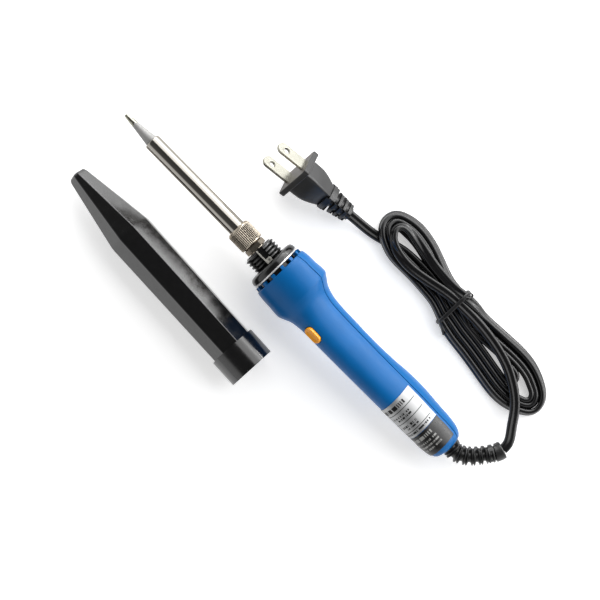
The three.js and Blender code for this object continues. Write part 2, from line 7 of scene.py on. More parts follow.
import json
from math import asin, atan2, copysign, cos, exp, hypot, pi, radians, sin, sqrt

import bmesh
import bpy
import numpy as np
from mathutils import Matrix, Vector, noise


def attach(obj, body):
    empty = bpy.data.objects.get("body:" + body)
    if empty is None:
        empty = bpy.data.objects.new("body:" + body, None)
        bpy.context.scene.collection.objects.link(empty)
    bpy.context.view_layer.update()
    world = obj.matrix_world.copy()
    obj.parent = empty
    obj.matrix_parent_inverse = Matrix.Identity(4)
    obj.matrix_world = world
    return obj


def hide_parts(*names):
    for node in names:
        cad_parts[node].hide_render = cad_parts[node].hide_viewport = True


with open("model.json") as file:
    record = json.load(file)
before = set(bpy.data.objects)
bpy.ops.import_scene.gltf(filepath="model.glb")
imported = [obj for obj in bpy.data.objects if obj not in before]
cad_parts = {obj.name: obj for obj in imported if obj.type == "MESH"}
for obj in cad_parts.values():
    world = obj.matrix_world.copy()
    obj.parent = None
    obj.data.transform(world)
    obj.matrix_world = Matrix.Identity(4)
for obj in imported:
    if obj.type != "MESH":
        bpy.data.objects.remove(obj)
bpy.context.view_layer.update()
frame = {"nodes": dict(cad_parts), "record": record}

MM = 0.001
UP = Vector((0, 0, 1))
BODY_OF = {
    node: body
    for body, nodes in frame["record"]["behaviour"]["bodies"].items()
    for node in nodes
}

# ----- places and driving dimensions


def placed(position, roll=0.0, pitch=0.0, yaw=0.0):
    """From a piece's own millimetres to metres on the table. Angles are in degrees."""
    turn = (
        Matrix.Rotation(radians(yaw), 4, "Z")
        @ Matrix.Rotation(radians(pitch), 4, "Y")
        @ Matrix.Rotation(radians(roll), 4, "X")
    )
    return Matrix.Scale(MM, 4) @ Matrix.Translation(position) @ turn


IRON_TIP = (-110.2, 19.2, 23.65)
IRON_DROP = 3.83
HANDLE_ROLL = 42.0
SCREW_ROLL = 46.0  # the CAD screws' own, which the posts and holes round them keep
TABLE = placed((0, 0, 0))
IRON = placed(IRON_TIP, pitch=IRON_DROP)
HANDLE = placed(IRON_TIP, roll=HANDLE_ROLL, pitch=IRON_DROP)
PLUG = placed((-35.7, 58.3, 13.9), roll=48.6, pitch=15.5, yaw=8.3)
CAP = placed((-109.2, -17.6, 10.55), roll=1.5, pitch=-0.9, yaw=-2.3)

# Stations along the iron, from the tip.
BARREL_FRONT = 17.2
NUT_FRONT = 74.3
NUT_REAR = 84.85
NECK_REAR = 88.0
NOSE_FRONT = 88.3
RIBS_REAR = 96.3
FLANGE_REAR = 100.0
RING_REAR = 101.1
HANDLE_FRONT = 101.4
POCKET_FRONT = 103.0
BUSH_REAR = 106.0
SPIGOT_REAR = 110.0
IRON_LENGTH = 220.0
SOLDER_REAR = 6.2
TIP_REAR = 46.0

GAP = 0.3
SEAM = 0.46
SHELL_WALL = 2.0
BARREL_RADIUS = 4.3
NUT_RADIUS = 6.2
NUT_GROOVES = 42
NUT_GROOVE_DEPTH = 0.42
THREAD_RADIUS = 4.95
THREAD_PITCH = 0.8
NECK_ACROSS_FLATS = 9.6
TIP_SKIRT_RADIUS = 3.45
HEATER_BORE = 2.05
NOSE_BORE = 4.95
POCKET_RADIUS = 9.0
FLANGE_RADIUS = 13.5
SPIGOT_RADIUS = 11.3
BUTTON_X = 135.0
SWITCH_X = 135.7  # where the switch and its spring stand under the button
BUTTON_LENGTH = 9.0
BUTTON_WIDTH = 4.6
BUTTON_TOP = 15.6
# Station of each shell screw, and the height of the under side there.
SCREWS = [(118.0, -15.4), (167.5, -10.1)]
SCREW_POST_RADIUS = 3.4
SCREW_HEAD_BORE = 2.6
SCREW_SHANK_BORE = 1.4

CORD_WIDTH = 5.0
CORD_THICKNESS = 2.6
TIE_X = 63.8

CAP_LENGTH = 125.8
CAP_KNEE = 39.0
CAP_COLLAR = 111.4
COLLAR_RADIUS = 12.2

BLADE_SPACING = 12.7
BLADE_WIDTH = 6.35
BLADE_THICKNESS = 1.5
BLADE_REACH = 15.6
BLADE_HOLE_X = -10.7
BLADE_HOLE_RADIUS = 1.55

# ----- mesh helpers


def linked(name, data):
    """A new object in the scene."""
    thing = bpy.data.objects.new(name, data)
    bpy.context.scene.collection.objects.link(thing)
    return thing


def solid(points, faces, name="shape"):
    """A mesh object with its faces turned outwards, still in its own millimetres."""
    mesh = bpy.data.meshes.new(name)
    mesh.from_pydata([tuple(p) for p in points], [], faces)
    bm = bmesh.new()
    bm.from_mesh(mesh)
    bmesh.ops.remove_doubles(bm, verts=bm.verts, dist=1e-5)
    bmesh.ops.dissolve_degenerate(bm, edges=bm.edges, dist=1e-6)
    bmesh.ops.recalc_face_normals(bm, faces=bm.faces)
    bm.to_mesh(mesh)
    bm.free()
    return linked(name, mesh)


def loft(rings, looped=False):
    """A solid with its skin through rings, capped at its ends unless it is looped."""
    sides = len(rings[0])
    points = [p for ring in rings for p in ring]
    faces = []
    spans = len(rings) if looped else len(rings) - 1
    for i in range(spans):
        here, there = i * sides, ((i + 1) % len(rings)) * sides
        for j in range(sides):
            k = (j + 1) % sides
            faces.append((here + j, here + k, there + k, there + j))
    if not looped:
        faces.append(tuple(range(sides))[::-1])
        faces.append(tuple(range((len(rings) - 1) * sides, len(rings) * sides)))
    return solid(points, faces)


def round_angles(sides, start=0.0):
    """Angles right round a ring, evenly. Start is in steps."""
    return [2 * pi * (j + start) / sides for j in range(sides)]


def circle(x, radius, sides=96):
    """A ring of points round the X axis. Radius may be a function of the angle."""
    ring = []
    for angle in round_angles(sides):
        r = radius(angle) if callable(radius) else radius
        ring.append((x, r * cos(angle), r * sin(angle)))
    return ring


def turned(profile, sides=96):
    """A profile of (x, radius) pairs turned about X. It is a closed outline or runs from axis to axis."""
    looped = profile[0][1] > 0
    return loft([circle(x, max(r, 1e-4), sides) for x, r in profile], looped=looped)


def sheet_faces(rows, columns, kept=lambda i, j: True):
    """The faces of an open sheet of points, in rows and columns."""
    cells = [(i, j) for i in range(rows - 1) for j in range(columns - 1) if kept(i, j)]
    corners = [i * columns + j for i, j in cells]
    return [(a, a + columns, a + columns + 1, a + 1) for a in corners]


def after(start, rows):
    """Rows of two numbers, the first of them counted on from a start."""
    return [(start + first, second) for first, second in rows]


def box(x0, x1, y0, y1, z0, z1):
    """A block between two stations, two sides and two heights."""
    points = [(x, y, z) for x in (x0, x1) for y in (y0, y1) for z in (z0, z1)]
    faces = [(0, 1, 3, 2), (4, 6, 7, 5), (0, 4, 5, 1), (2, 3, 7, 6), (0, 2, 6, 4), (1, 5, 7, 3)]
    return solid(points, faces)


def stadium(x, length, width, z, sides=48):
    """A ring shaped like a slot along X, at height z."""
    radius, straight = width / 2, (length - width) / 2
    ring = []
    for angle in round_angles(sides, 0.5):
        shift = copysign(straight, cos(angle))
        ring.append((x + shift + radius * cos(angle), radius * sin(angle), z))
    return ring


def post(x, y, z0, z1, radius, sides=48):
    """A round post along Z."""
    foot = [(x + radius * cos(a), y + radius * sin(a)) for a in round_angles(sides)]
    return loft([[(*point, z) for point in foot] for z in (z0, z1)])


def applied(shape):
    """Turns an object's modifiers into its mesh."""
    graph = bpy.context.evaluated_depsgraph_get()
    mesh = bpy.data.meshes.new_from_object(
        shape.evaluated_get(graph), preserve_all_data_layers=True, depsgraph=graph
    )
    shape.modifiers.clear()
    shape.data = mesh
    return shape


def combined(shape, tool, operation):
    """Cuts a tool from a shape, or adds it. The tool is used up."""
    step = shape.modifiers.new("cut", "BOOLEAN")
    step.operation = operation
    step.solver = "EXACT"
    step.object = tool
    applied(shape)
    bpy.data.objects.remove(tool)


def thickened(shape, thickness, offset):
    """Gives a sheet a thickness, inwards of its faces at an offset of -1 and outwards at 1."""
    step = shape.modifiers.new("wall", "SOLIDIFY")
    step.thickness = thickness
    step.offset = offset
    return applied(shape)


def rounded(shape, width, angle=32, segments=2):
    """Rounds the edges that turn by more than an angle."""
    step = shape.modifiers.new("round", "BEVEL")
    step.width = width
    step.segments = segments
    step.limit_method = "ANGLE"
    step.angle_limit = radians(angle)
    return applied(shape)


def joined(shape, *others):
    """Adds other objects' meshes to a shape's mesh as separate skins."""
    bm = bmesh.new()
    bm.from_mesh(shape.data)
    for other in others:
        bm.from_mesh(other.data)
        bpy.data.objects.remove(other)
    bm.to_mesh(shape.data)
    bm.free()
    return shape


def piece(name, shape, place, material, stands_for=None, sharp=38):
    """Names and places a finished shape, which rides with the CAD nodes that it stands for.

    Edges sharper than an angle stay sharp, and large flat faces stay flat up to their rounded edges.
    """
    nodes = stands_for or [name]
    shape.name = name + "_look"
    shape.data.name = shape.name
    shape.data.transform(place)
    shape.data.polygons.foreach_set("use_smooth", [True] * len(shape.data.polygons))
    shape.data.set_sharp_from_angle(angle=radians(sharp))
    shading = shape.modifiers.new("shading", "WEIGHTED_NORMAL")
    shading.keep_sharp = True
    applied(shape)
    shape.data.name = shape.name
    shape.data.materials.clear()
    shape.data.materials.append(material)
    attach(shape, BODY_OF[nodes[0]])
    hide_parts(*nodes)
    return shape


def partly(shape, place, material, covered):
    """Gives a second finish to the faces that it covers, going by their centres in millimetres."""
    shape.data.materials.append(material)
    inverse = place.inverted()
    for face in shape.data.polygons:
        if covered(inverse @ face.center):
            face.material_index = 1


def blend(rows, slopes, i, gap, t):
    """A point a share of the way along the smooth curve from one row to the next."""
    return (
        (2 * t**3 - 3 * t**2 + 1) * rows[i]
        + (t**3 - 2 * t**2 + t) * gap * slopes[i]
        + (3 * t**2 - 2 * t**3) * rows[i + 1]
        + (t**3 - t**2) * gap * slopes[i + 1]
    )


def outline_at(rows, x):
    """A smooth outline's numbers at a station. Each of its rows begins with a station."""
    slopes = np.gradient(rows, rows[:, 0], axis=0)
    i = min(max(int(np.searchsorted(rows[:, 0], x, side="right")) - 1, 0), len(rows) - 2)
    gap = rows[i + 1, 0] - rows[i, 0]
    t = min(max((x - rows[i, 0]) / gap, 0), 1)
    return blend(rows, slopes, i, gap, t)


def smooth_rows(rows, count):
    """A smooth outline as that many rows."""
    rows = np.array(rows, float)
    return [tuple(outline_at(rows, x)) for x in np.linspace(rows[0, 0], rows[-1, 0], count)]


def smooth_route(rows, step):
    """A smooth curve through rows of numbers, the first three a position, in even steps."""
    rows = np.array(rows, float)
    gaps = np.linalg.norm(np.diff(rows[:, :3], axis=0), axis=1) ** 0.5
    knots = np.concatenate([[0], np.cumsum(gaps)])
    slopes = np.gradient(rows, knots, axis=0)
    fine = []
    for i, gap in enumerate(gaps):
        for t in np.linspace(0, 1, 24, endpoint=False):
            fine.append(blend(rows, slopes, i, gap, t))
    fine = np.array(fine + [rows[-1]])
    along = np.concatenate([[0], np.cumsum(np.linalg.norm(np.diff(fine[:, :3], axis=0), axis=1))])
    count = max(2, int(round(along[-1] / step)) + 1)
    even = np.linspace(0, along[-1], count)
    return np.stack([np.interp(even, along, fine[:, c]) for c in range(fine.shape[1])], axis=1), even


def directions(line):
    """The unit direction of a route at each of its points."""
    ahead = np.gradient(line, axis=0)
    return ahead / np.linalg.norm(ahead, axis=1)[:, None]


def swept(line, axes, section):
    """A skin along a route.

    Axes gives two directions across it at one of its points, and section the outline along them.
    """
    rings = []
    for i, (centre, forward) in enumerate(zip(line, directions(line))):
        first, second = axes(i, Vector(forward))
        rings.append([Vector(centre) + first * a + second * b for a, b in section(i)])
    return loft(rings)


# ----- materials


def ramp(nodes, low, high):
    """A colour ramp between two colours."""
    node = nodes.new("ShaderNodeValToRGB")
    node.color_ramp.elements[0].color = (*low, 1)
    node.color_ramp.elements[1].color = (*high, 1)
    node.color_ramp.elements[0].position = 0.3
    node.color_ramp.elements[1].position = 0.7
    return node


def new_node(nodes, kind, **inputs):
    """A node with some of its inputs set. An underscore in a name stands for a space."""
    node = nodes.new("ShaderNode" + kind)
    for name, value in inputs.items():
        node.inputs[name.replace("_", " ")].default_value = value
    return node


def finish(name, colour, roughness, metallic=0.0, specular=0.5, edge=(1, 1, 1), varied=0.12,
           mottle=120.0, grain=900.0, bump=0.08, depth=0.00004, spread=0.07, stretch=(1, 1, 1)):
    """A surface whose colour, roughness and relief vary a little, as on a real moulding or plating.

    Edge tints the glancing reflection. Mottle and grain are the coarse and fine noise scales per
    metre, varied and spread how far colour and roughness wander, and stretch draws them out.
    """
    material = bpy.data.materials.new(name)
    material.use_nodes = True
    nodes, links = material.node_tree.nodes, material.node_tree.links
    shader = nodes["Principled BSDF"]
    shader.inputs["Metallic"].default_value = metallic
    shader.inputs["Specular IOR Level"].default_value = specular
    shader.inputs["Specular Tint"].default_value = (*edge, 1)
    place = new_node(nodes, "TexCoord")
    mapping = new_node(nodes, "Mapping", Scale=stretch)
    coarse = new_node(nodes, "TexNoise", Scale=mottle, Detail=4)
    fine = new_node(nodes, "TexNoise", Scale=grain, Detail=3)
    tint = ramp(nodes, [c * (1 - varied) for c in colour], [min(1, c * (1 + varied)) for c in colour])
    smoothest, roughest = max(0.02, roughness - spread), min(1, roughness + spread)
    wander = new_node(nodes, "MapRange", From_Min=0.25, From_Max=0.75, To_Min=smoothest, To_Max=roughest)
    relief = new_node(nodes, "Bump", Strength=bump, Distance=depth)
    for source, target in [
        (place.outputs["Object"], mapping.inputs["Vector"]),
        (mapping.outputs["Vector"], coarse.inputs["Vector"]),
        (mapping.outputs["Vector"], fine.inputs["Vector"]),
        (coarse.outputs["Fac"], tint.inputs["Fac"]),
        (tint.outputs["Color"], shader.inputs["Base Color"]),
        (fine.outputs["Fac"], wander.inputs["Value"]),
        (wander.outputs["Result"], shader.inputs["Roughness"]),
        (fine.outputs["Fac"], relief.inputs["Height"]),
        (relief.outputs["Normal"], shader.inputs["Normal"]),
    ]:
        links.new(source, target)
    return material


def printed(material, ink, rules, rows):
    """Adds generic print to a plate: thin rules, and rows of plain blocks where lettering would be.

    Both directions run from 0 to 1. A rule is its place along the plate and half-width. A row is from
    and to along it, start and end round it, its cells round the plate and the share of them printed.
    """
    nodes, links = material.node_tree.nodes, material.node_tree.links
    shader = nodes["Principled BSDF"]
    under = shader.inputs["Base Color"].links[0].from_socket
    split = new_node(nodes, "SeparateXYZ")
    links.new(new_node(nodes, "UVMap").outputs["UV"], split.inputs["Vector"])
    along, around = split.outputs["X"], split.outputs["Y"]

    def sum_of(operation, *values):
        node = new_node(nodes, "Math")
        node.operation = operation
        for socket, value in zip(node.inputs, values):
            if isinstance(value, (int, float)):
                socket.default_value = value
            else:
                links.new(value, socket)
        return node.outputs[0]

    def patch(x0, x1, start, end):
        sides = []
        for value, low, high in [(along, x0, x1), (around, start, end)]:
            above = sum_of("GREATER_THAN", value, low)
            sides.append(sum_of("MULTIPLY", above, sum_of("LESS_THAN", value, high)))
        return sum_of("MULTIPLY", *sides)

    marks = [patch(where - half, where + half, 0.05, 0.93) for where, half in rules]
    for index, (x0, x1, start, end, blocks, share) in enumerate(rows):
        cell = sum_of("FLOOR", sum_of("MULTIPLY", around, blocks))
        chance = new_node(nodes, "TexWhiteNoise")
        chance.noise_dimensions = "1D"
        links.new(sum_of("ADD", cell, index * 37.5), chance.inputs["W"])
        on = sum_of("LESS_THAN", chance.outputs["Value"], share)
        marks.append(sum_of("MULTIPLY", patch(x0, x1, start, end), on))
    mask = marks[0]
    for mark in marks[1:]:
        mask = sum_of("MAXIMUM", mask, mark)
    mix = nodes.new("ShaderNodeMix")
    mix.data_type = "RGBA"
    mix.inputs["B"].default_value = (*ink, 1)
    links.new(mask, mix.inputs["Factor"])
    links.new(under, mix.inputs["A"])
    links.new(mix.outputs["Result"], shader.inputs["Base Color"])
    return material


STEEL = finish("steel", (0.39, 0.37, 0.335), 0.11, 1.0, edge=(0.3, 0.28, 0.25), varied=0.03,
    spread=0.03, grain=700, bump=0.03, stretch=(0.15, 1, 1))
NICKEL = finish("nickel", (0.40, 0.355, 0.29), 0.20, 1.0, edge=(0.6, 0.55, 0.5), varied=0.03,
    spread=0.06)
RING_PLATE = finish("ring_plate", (0.72, 0.72, 0.72), 0.28, 0.5, varied=0.03, spread=0.05)
# Near-black finish for the faces deep in the nut's grooves: painted shade in the grooves.
GROOVE_SHADE = finish("painted_groove_shade", (0.022, 0.018, 0.013), 0.45, 0.4, varied=0.2, spread=0.1)
BLADE = finish("blade", (0.31, 0.305, 0.265), 0.24, 1.0, edge=(0.5, 0.47, 0.4), varied=0.04,
    spread=0.03, bump=0.01, stretch=(0.3, 1, 1))
TIP = finish("tip_plating", (0.30, 0.297, 0.29), 0.5, 0.3, specular=0.3, varied=0.08, bump=0.15,
    spread=0.08)
SOLDER = finish("solder", (0.34, 0.335, 0.28), 0.17, 1.0, edge=(0.5, 0.5, 0.45), varied=0.06,
    mottle=500, grain=500, bump=0.25, spread=0.08)
PHENOLIC = finish("phenolic", (0.004, 0.004, 0.004), 0.20, specular=0.6, varied=0.25, spread=0.07,
    bump=0.06)
BLUE = finish("blue_abs", (0.001, 0.10, 0.31), 0.36, specular=0.22, varied=0.05, mottle=90, grain=2600,
    bump=0.12, depth=0.00002, spread=0.05)
ORANGE = finish("orange_abs", (0.80, 0.32, 0.012), 0.34, varied=0.05, grain=2200, bump=0.1)
CAP_PLASTIC = finish("cap_plastic", (0.0016, 0.0016, 0.0018), 0.19, specular=0.9, varied=0.1,
    mottle=60, grain=350, bump=0.02, spread=0.05)
RUBBER = finish("rubber", (0.009, 0.009, 0.009), 0.36, specular=0.6, varied=0.2, grain=1800, bump=0.16,
    depth=0.00003)
CORD_SHEATH = finish("cord_sheath", (0.0045, 0.0045, 0.005), 0.22, specular=0.5, varied=0.2,
    grain=1200, bump=0.08)
VINYL = finish("vinyl", (0.008, 0.008, 0.0085), 0.36, varied=0.2, grain=2000, bump=0.16,
    depth=0.00003)
FIBRE = finish("fibre", (0.05, 0.042, 0.036), 0.5, varied=0.1, grain=1500, bump=0.2)
TINNED = finish("tinned", (0.46, 0.45, 0.41), 0.36, 0.5, varied=0.06, spread=0.05)
TIE_PLASTIC = finish("tie_plastic", (0.006, 0.006, 0.0065), 0.34, varied=0.2)
SILVER_PLATE = printed(
    finish("silver_plate", (0.36, 0.363, 0.365), 0.42, 0.7, specular=0.2, varied=0.04, spread=0.05,
        stretch=(1, 0.2, 0.2)),
    (0.02, 0.02, 0.02),
    [(0.27, 0.009), (0.56, 0.009), (0.845, 0.009)],
    [
        (0.09, 0.20, 0.20, 0.84, 57, 0.55),
        (0.36, 0.41, 0.24, 0.62, 91, 0.6),
        (0.44, 0.49, 0.24, 0.52, 91, 0.6),
        (0.65, 0.71, 0.26, 0.66, 83, 0.55),
        (0.74, 0.78, 0.26, 0.50, 97, 0.6),
        (0.89, 0.94, 0.10, 0.88, 101, 0.6),
    ],
)
BLACK_PLATE = printed(
    finish("black_plate", (0.006, 0.006, 0.006), 0.30, varied=0.2, spread=0.05),
    (0.26, 0.26, 0.25),
    [],
    [
        (0.12, 0.26, 0.22, 0.84, 53, 0.6),
        (0.38, 0.45, 0.20, 0.86, 97, 0.6),
        (0.54, 0.61, 0.20, 0.80, 97, 0.6),
        (0.70, 0.77, 0.20, 0.60, 97, 0.6),
    ],
)
CERAMIC = finish("ceramic", (0.82, 0.79, 0.72), 0.55, varied=0.05, bump=0.2)
BOARD = finish("board", (0.05, 0.2, 0.08), 0.35, varied=0.12, mottle=400)
RED = finish("red_abs", (0.42, 0.03, 0.02), 0.4, varied=0.08)
BLACK = finish("black_abs", (0.02, 0.02, 0.02), 0.4, varied=0.2)
SLEEVING = finish("sleeving", (0.75, 0.73, 0.66), 0.8, varied=0.12, mottle=900, grain=1600, bump=0.5)
COPPER = finish("tinned_copper", (0.68, 0.64, 0.58), 0.3, 1.0, varied=0.1)

NODE_FINISH = {
    "ceramic_heater": CERAMIC,
    "bush_retainer": STEEL,
    "button_spring": STEEL,
    "switch_plunger": RED,
    "switch_body": BLACK,
    "circuit_board": BOARD,
    "rectifier_diode": BLACK,
    "cord_clamp": BLACK,
    "cord_inside": CORD_SHEATH,
    "shell_screw": NICKEL,
    "heater_lead": SLEEVING,
    "supply_wire": CORD_SHEATH,
    "crimp_sleeve": COPPER,
    "cord_core": CORD_SHEATH,
    "clamp_screw": NICKEL,
}


def dress_nodes():
    """Gives the CAD nodes that stay their own finishes."""
    for name, node in frame["nodes"].items():
        family = name.rstrip("_12") if name not in NODE_FINISH else name
        material = NODE_FINISH.get(family)
        if material is None:
            continue
        for slot in node.material_slots:
            slot.material = material


# ----- camera, table and light

CAMERA_PLACE = (0.0092, 0.0167, 0.550)
CAMERA_TURN = 45.55
CAMERA_LENS = 67.26


def camera():
    """Looks straight down from half a metre, turned so that the iron lies across the picture."""
    data = bpy.data.cameras.new("camera")
    data.lens = CAMERA_LENS
    data.sensor_width = 36
    eye = linked("camera", data)
    eye.location = CAMERA_PLACE
    eye.rotation_euler = (0, 0, radians(CAMERA_TURN))
    bpy.context.scene.camera = eye


def soft_box(name, place, target, size, radiance):
    """A rectangular light at a place, facing a target. Radiance is how bright its surface looks."""
    data = bpy.data.lights.new(name, "AREA")
    data.shape = "RECTANGLE"
    data.size, data.size_y = size
    data.energy = radiance * pi * size[0] * size[1]
    lamp = linked(name, data)
    lamp.location = place
    lamp.rotation_euler = (Vector(target) - Vector(place)).to_track_quat("-Z", "Y").to_euler()
    lamp.visible_camera = False


def sky():
    """A pale studio: bright round the horizon, and dark straight above the camera."""
    world = bpy.data.worlds.new("studio")
    world.use_nodes = True
    bpy.context.scene.world = world
    nodes, links = world.node_tree.nodes, world.node_tree.links
    place = nodes.new("ShaderNodeTexCoord")
    split = nodes.new("ShaderNodeSeparateXYZ")
    links.new(place.outputs["Generated"], split.inputs["Vector"])
    shade = nodes.new("ShaderNodeValToRGB")
    stops = [(0.0, 1.0), (0.5, 0.95), (0.62, 0.6), (0.69, 0.14), (1.0, 0.09)]
    bar = shade.color_ramp
    while len(bar.elements) < len(stops):
        bar.elements.new(0.5)
    for element, (where, level) in zip(bar.elements, stops):
        element.position = where
        element.color = (level, level, level, 1)
    links.new(split.outputs["Z"], shade.inputs["Fac"])
    links.new(shade.outputs["Color"], nodes["Background"].inputs["Color"])


TABLE_GLOW = 0.47  # keeps the shadows short and pale, as on a lit table


def table_top():
    reach = 3.0
    corners = [(-reach, -reach, 0), (reach, -reach, 0), (reach, reach, 0), (-reach, reach, 0)]
    top = solid(corners, [(0, 1, 2, 3)], "table")
    paper = finish("paper", (0.90, 0.90, 0.90), 0.75, varied=0.01, specular=0.2, mottle=40,
                   grain=500, bump=0.05)
    shader = paper.node_tree.nodes["Principled BSDF"]
    shader.inputs["Emission Color"].default_value = (1, 1, 1, 1)
    shader.inputs["Emission Strength"].default_value = TABLE_GLOW
    top.data.materials.append(paper)


def studio():
    bpy.context.scene.view_settings.view_transform = "Standard"
    camera()
    sky()
    table_top()
    soft_box("ceiling", (0, 0.68, 0.72), (0, 0.02, 0), (2.2, 0.70), 2.1)
    soft_box("key", (0, 0.82, 0.26), (0, 0.02, 0.26), (2.4, 0.52), 2.5)
    soft_box("strip", (0, 0.80, 0.20), (0, 0.02, 0.02), (2.2, 0.06), 11.0)


# ----- cord

LOBE = CORD_THICKNESS / 2
LOBE_SPACING = CORD_WIDTH / 2 - LOBE
CORD_WEB = 1.06  # half the thickness between the two cores
REST_GAP = 0.1
ROUTE_STEP = 1.1
SMOOTHING_PASSES = 6
# The strands rise over the tie, and the upper loop over the cord's tail, in low humps.
TIE_LIFT = 1.2
TIE_LIFT_REACH = 5.0
TAIL_CROSSING = (15.5, 67.0)
TAIL_LIFT = 2.7
TAIL_LIFT_REACH = 7.5

# Over the lower loop and through the tie, then clockwise round the upper loop as its top strand.
# Each row is x, y, z and roll: 0 is on edge, -90 is flat, and between them the top edge leans inwards.
LEAD_ROUTE = [
    (129.0, 36.0, 9.9, -90), (129.2, 38.6, 9.9, -90), (128.2, 41.6, 9.5, -90),
    (126.2, 44.6, 8.8, -90), (124.0, 47.7, 8.1, -90), (121.8, 51.2, 7.4, -90),
    (119.0, 54.8, 7.0, -90), (115.9, 57.8, 6.7, -90), (112.5, 60.4, 6.5, -90),
    (108.4, 62.9, 6.4, -90), (104.1, 65.1, 6.4, -90), (99.3, 66.9, 6.5, -90),
    (93.4, 68.4, 6.6, -90), (87.2, 69.5, 6.7, -90), (81.0, 70.2, 6.9, -90),
    (73.9, 70.5, 7.2, -90), (66.5, 70.3, 7.4, -90), (62.0, 70.1, 7.4, -90),
    (56.4, 69.6, 7.4, -88), (50.4, 68.4, 7.1, -88), (44.2, 67.1, 6.8, -88), (37.6, 66.0, 6.7, -86),
    (32.0, 65.8, 6.8, -82), (26.5, 66.5, 7.3, -70), (21.8, 68.0, 7.8, -50), (18.3, 70.9, 7.8, -35),
    (16.7, 74.4, 7.2, -25), (18.3, 77.4, 6.7, -32), (22.5, 78.4, 6.2, -55), (28.9, 77.6, 5.8, -82),
    (35.8, 76.3, 5.7, -98), (43.1, 74.9, 5.9, -104), (50.9, 74.2, 6.5, -104), (57.2, 73.9, 7.3, -98),
    (63.8, 74.6, 7.7, -85), (70.5, 75.3, 6.6, -68),
]
TAIL_ROUTE = [
    (55.0, 69.4, 2.5, -10), (48.0, 70.8, 2.5, -10), (41.4, 71.0, 2.5, -12), (34.0, 70.7, 2.4, -25),
    (27.5, 69.7, 2.0, -55), (22.0, 68.2, 1.4, -82), (16.5, 66.4, 1.35, -90), (11.0, 64.9, 1.5, -90),
    (6.5, 64.2, 2.2, -90), (2.4, 63.7, 3.6, -90), (-1.0, 63.3, 4.8, -90),
    (-3.2, 63.0, 5.4, -90),
]
# The outermost strand's centreline round each end of the hank, in the order that the cord takes.
UPPER_LOOP = [
    (55.5, 61.9), (48.0, 62.7), (39.2, 63.1), (32.0, 63.0), (25.6, 63.1), (19.8, 64.6), (14.4, 67.4),
    (11.4, 70.4), (10.2, 74.5), (11.8, 79.4), (18.0, 82.5), (26.2, 83.5), (35.7, 82.0), (44.0, 79.2),
    (54.0, 75.8),
]
LOWER_LOOP = [
    (78.0, 75.2), (86.0, 75.6), (94.0, 76.1), (101.0, 76.5), (108.5, 76.2), (114.5, 74.9), (121.3, 72.0),
    (126.0, 68.7), (128.1, 65.0), (128.5, 61.2), (127.0, 58.0), (124.0, 55.9), (119.2, 53.6),
    (113.8, 52.2), (107.8, 51.9), (99.6, 52.9), (92.3, 54.1), (83.2, 55.4), (74.5, 56.3), (69.0, 57.3),
]
UPPER_FOCUS = (22.0, 73.4)
LOWER_FOCUS = (115.0, 63.8)
# Insets from the outermost strand, and rolls, on the way to each loop's end, at it and on the way back.
UPPER_LANES = [
    ((0, 0, 0), (-8, -18, -42)),
    ((2.6, 2.9, 3.1), (-8, -16, -12)),
    ((5.0, 5.2, 6.4), (-8, -20, -70)),
]
LOWER_LANES = [
    ((0, 0, 0), (-44, -16, -34)),
    ((3.6, 3.1, 3.2), (-44, -26, -28)),
    ((6.2, 5.8, 6.0), (-22, -16, -22)),
    ((8.9, 8.7, 8.6), (-12, -12, -16)),
]
INNER_FOCUS = (108.0, 63.9)
INNER_RADIUS = 3.5
# Where the strands cross the tie, on the way down and on the way back up.
SLOTS_DOWN = [75.2, 72.5, 69.8]
SLOTS_UP = [58.9, 61.6, 64.3, 67.0]


def loop_turn(outline, focus, insets, rolls, lift):
    """One turn round an end of the hank, as rows of x, y, z and roll."""
    rows = []
    stages = (0.15, 0.48, 0.75)
    for i, (x, y) in enumerate(outline):
        share = i / (len(outline) - 1)
        beyond = x < focus[0] if focus[0] < TIE_X else x > focus[0]
        inward = Vector((focus[0] - x, focus[1] - y)) if beyond else Vector((0, focus[1] - y))
        room = inward.length
        inward.normalize()
        inset = float(np.interp(share, stages, insets))
        if beyond and focus == INNER_FOCUS:
            inset = room - INNER_RADIUS
        roll = float(np.interp(share, stages, rolls))
        rows.append((x + inset * inward.x, y + inset * inward.y, resting(roll) + lift(x, y), roll))
    return rows


def resting(roll):
    """Height of the cord's centreline where it lies on the table at a roll."""
    return LOBE + LOBE_SPACING * abs(cos(radians(roll))) + REST_GAP


def over_tail(x, y):
    """How far the upper loop is lifted where it passes over the cord's tail."""
    away = ((x - TAIL_CROSSING[0]) ** 2 + (y - TAIL_CROSSING[1]) ** 2) / (2 * TAIL_LIFT_REACH**2)
    return TAIL_LIFT * exp(-away)


def cord_route():
    """The whole cord, from the guard through four turns of the hank to the plug."""
    rows = list(LEAD_ROUTE)
    for turn, (insets, rolls) in enumerate(LOWER_LANES):
        if turn:
            rows.append((TIE_X, SLOTS_DOWN[turn - 1], resting(0), -15))
        focus = LOWER_FOCUS if turn < len(LOWER_LANES) - 1 else INNER_FOCUS
        rows += loop_turn(LOWER_LOOP, focus, insets, rolls, lambda x, y: 0.0)
        rows.append((TIE_X, SLOTS_UP[turn], resting(0), -12))
        if turn < len(UPPER_LANES):
            rows += loop_turn(UPPER_LOOP, UPPER_FOCUS, *UPPER_LANES[turn], over_tail)
    rows += TAIL_ROUTE
    lifted = []
    for x, y, z, roll in rows:
        lift = TIE_LIFT * exp(-((x - TIE_X) ** 2) / (2 * TIE_LIFT_REACH**2))
        lifted.append((x, y, z + lift, roll))
    return lifted


def cord_section(sides=28):
    """Half-width and half-thickness points of the flat cord: two round lobes and a shallow groove."""
    points = []
    for angle in round_angles(sides, 0.5):
        across = CORD_WIDTH / 2 * sin(angle)
        off = abs(LOBE_SPACING - abs(across))
        thick = sqrt(max(LOBE**2 - off**2, 0.0))
        if abs(across) < LOBE_SPACING:
            thick = max(thick, CORD_WEB)
        points.append((across, copysign(thick, cos(angle))))
    return points


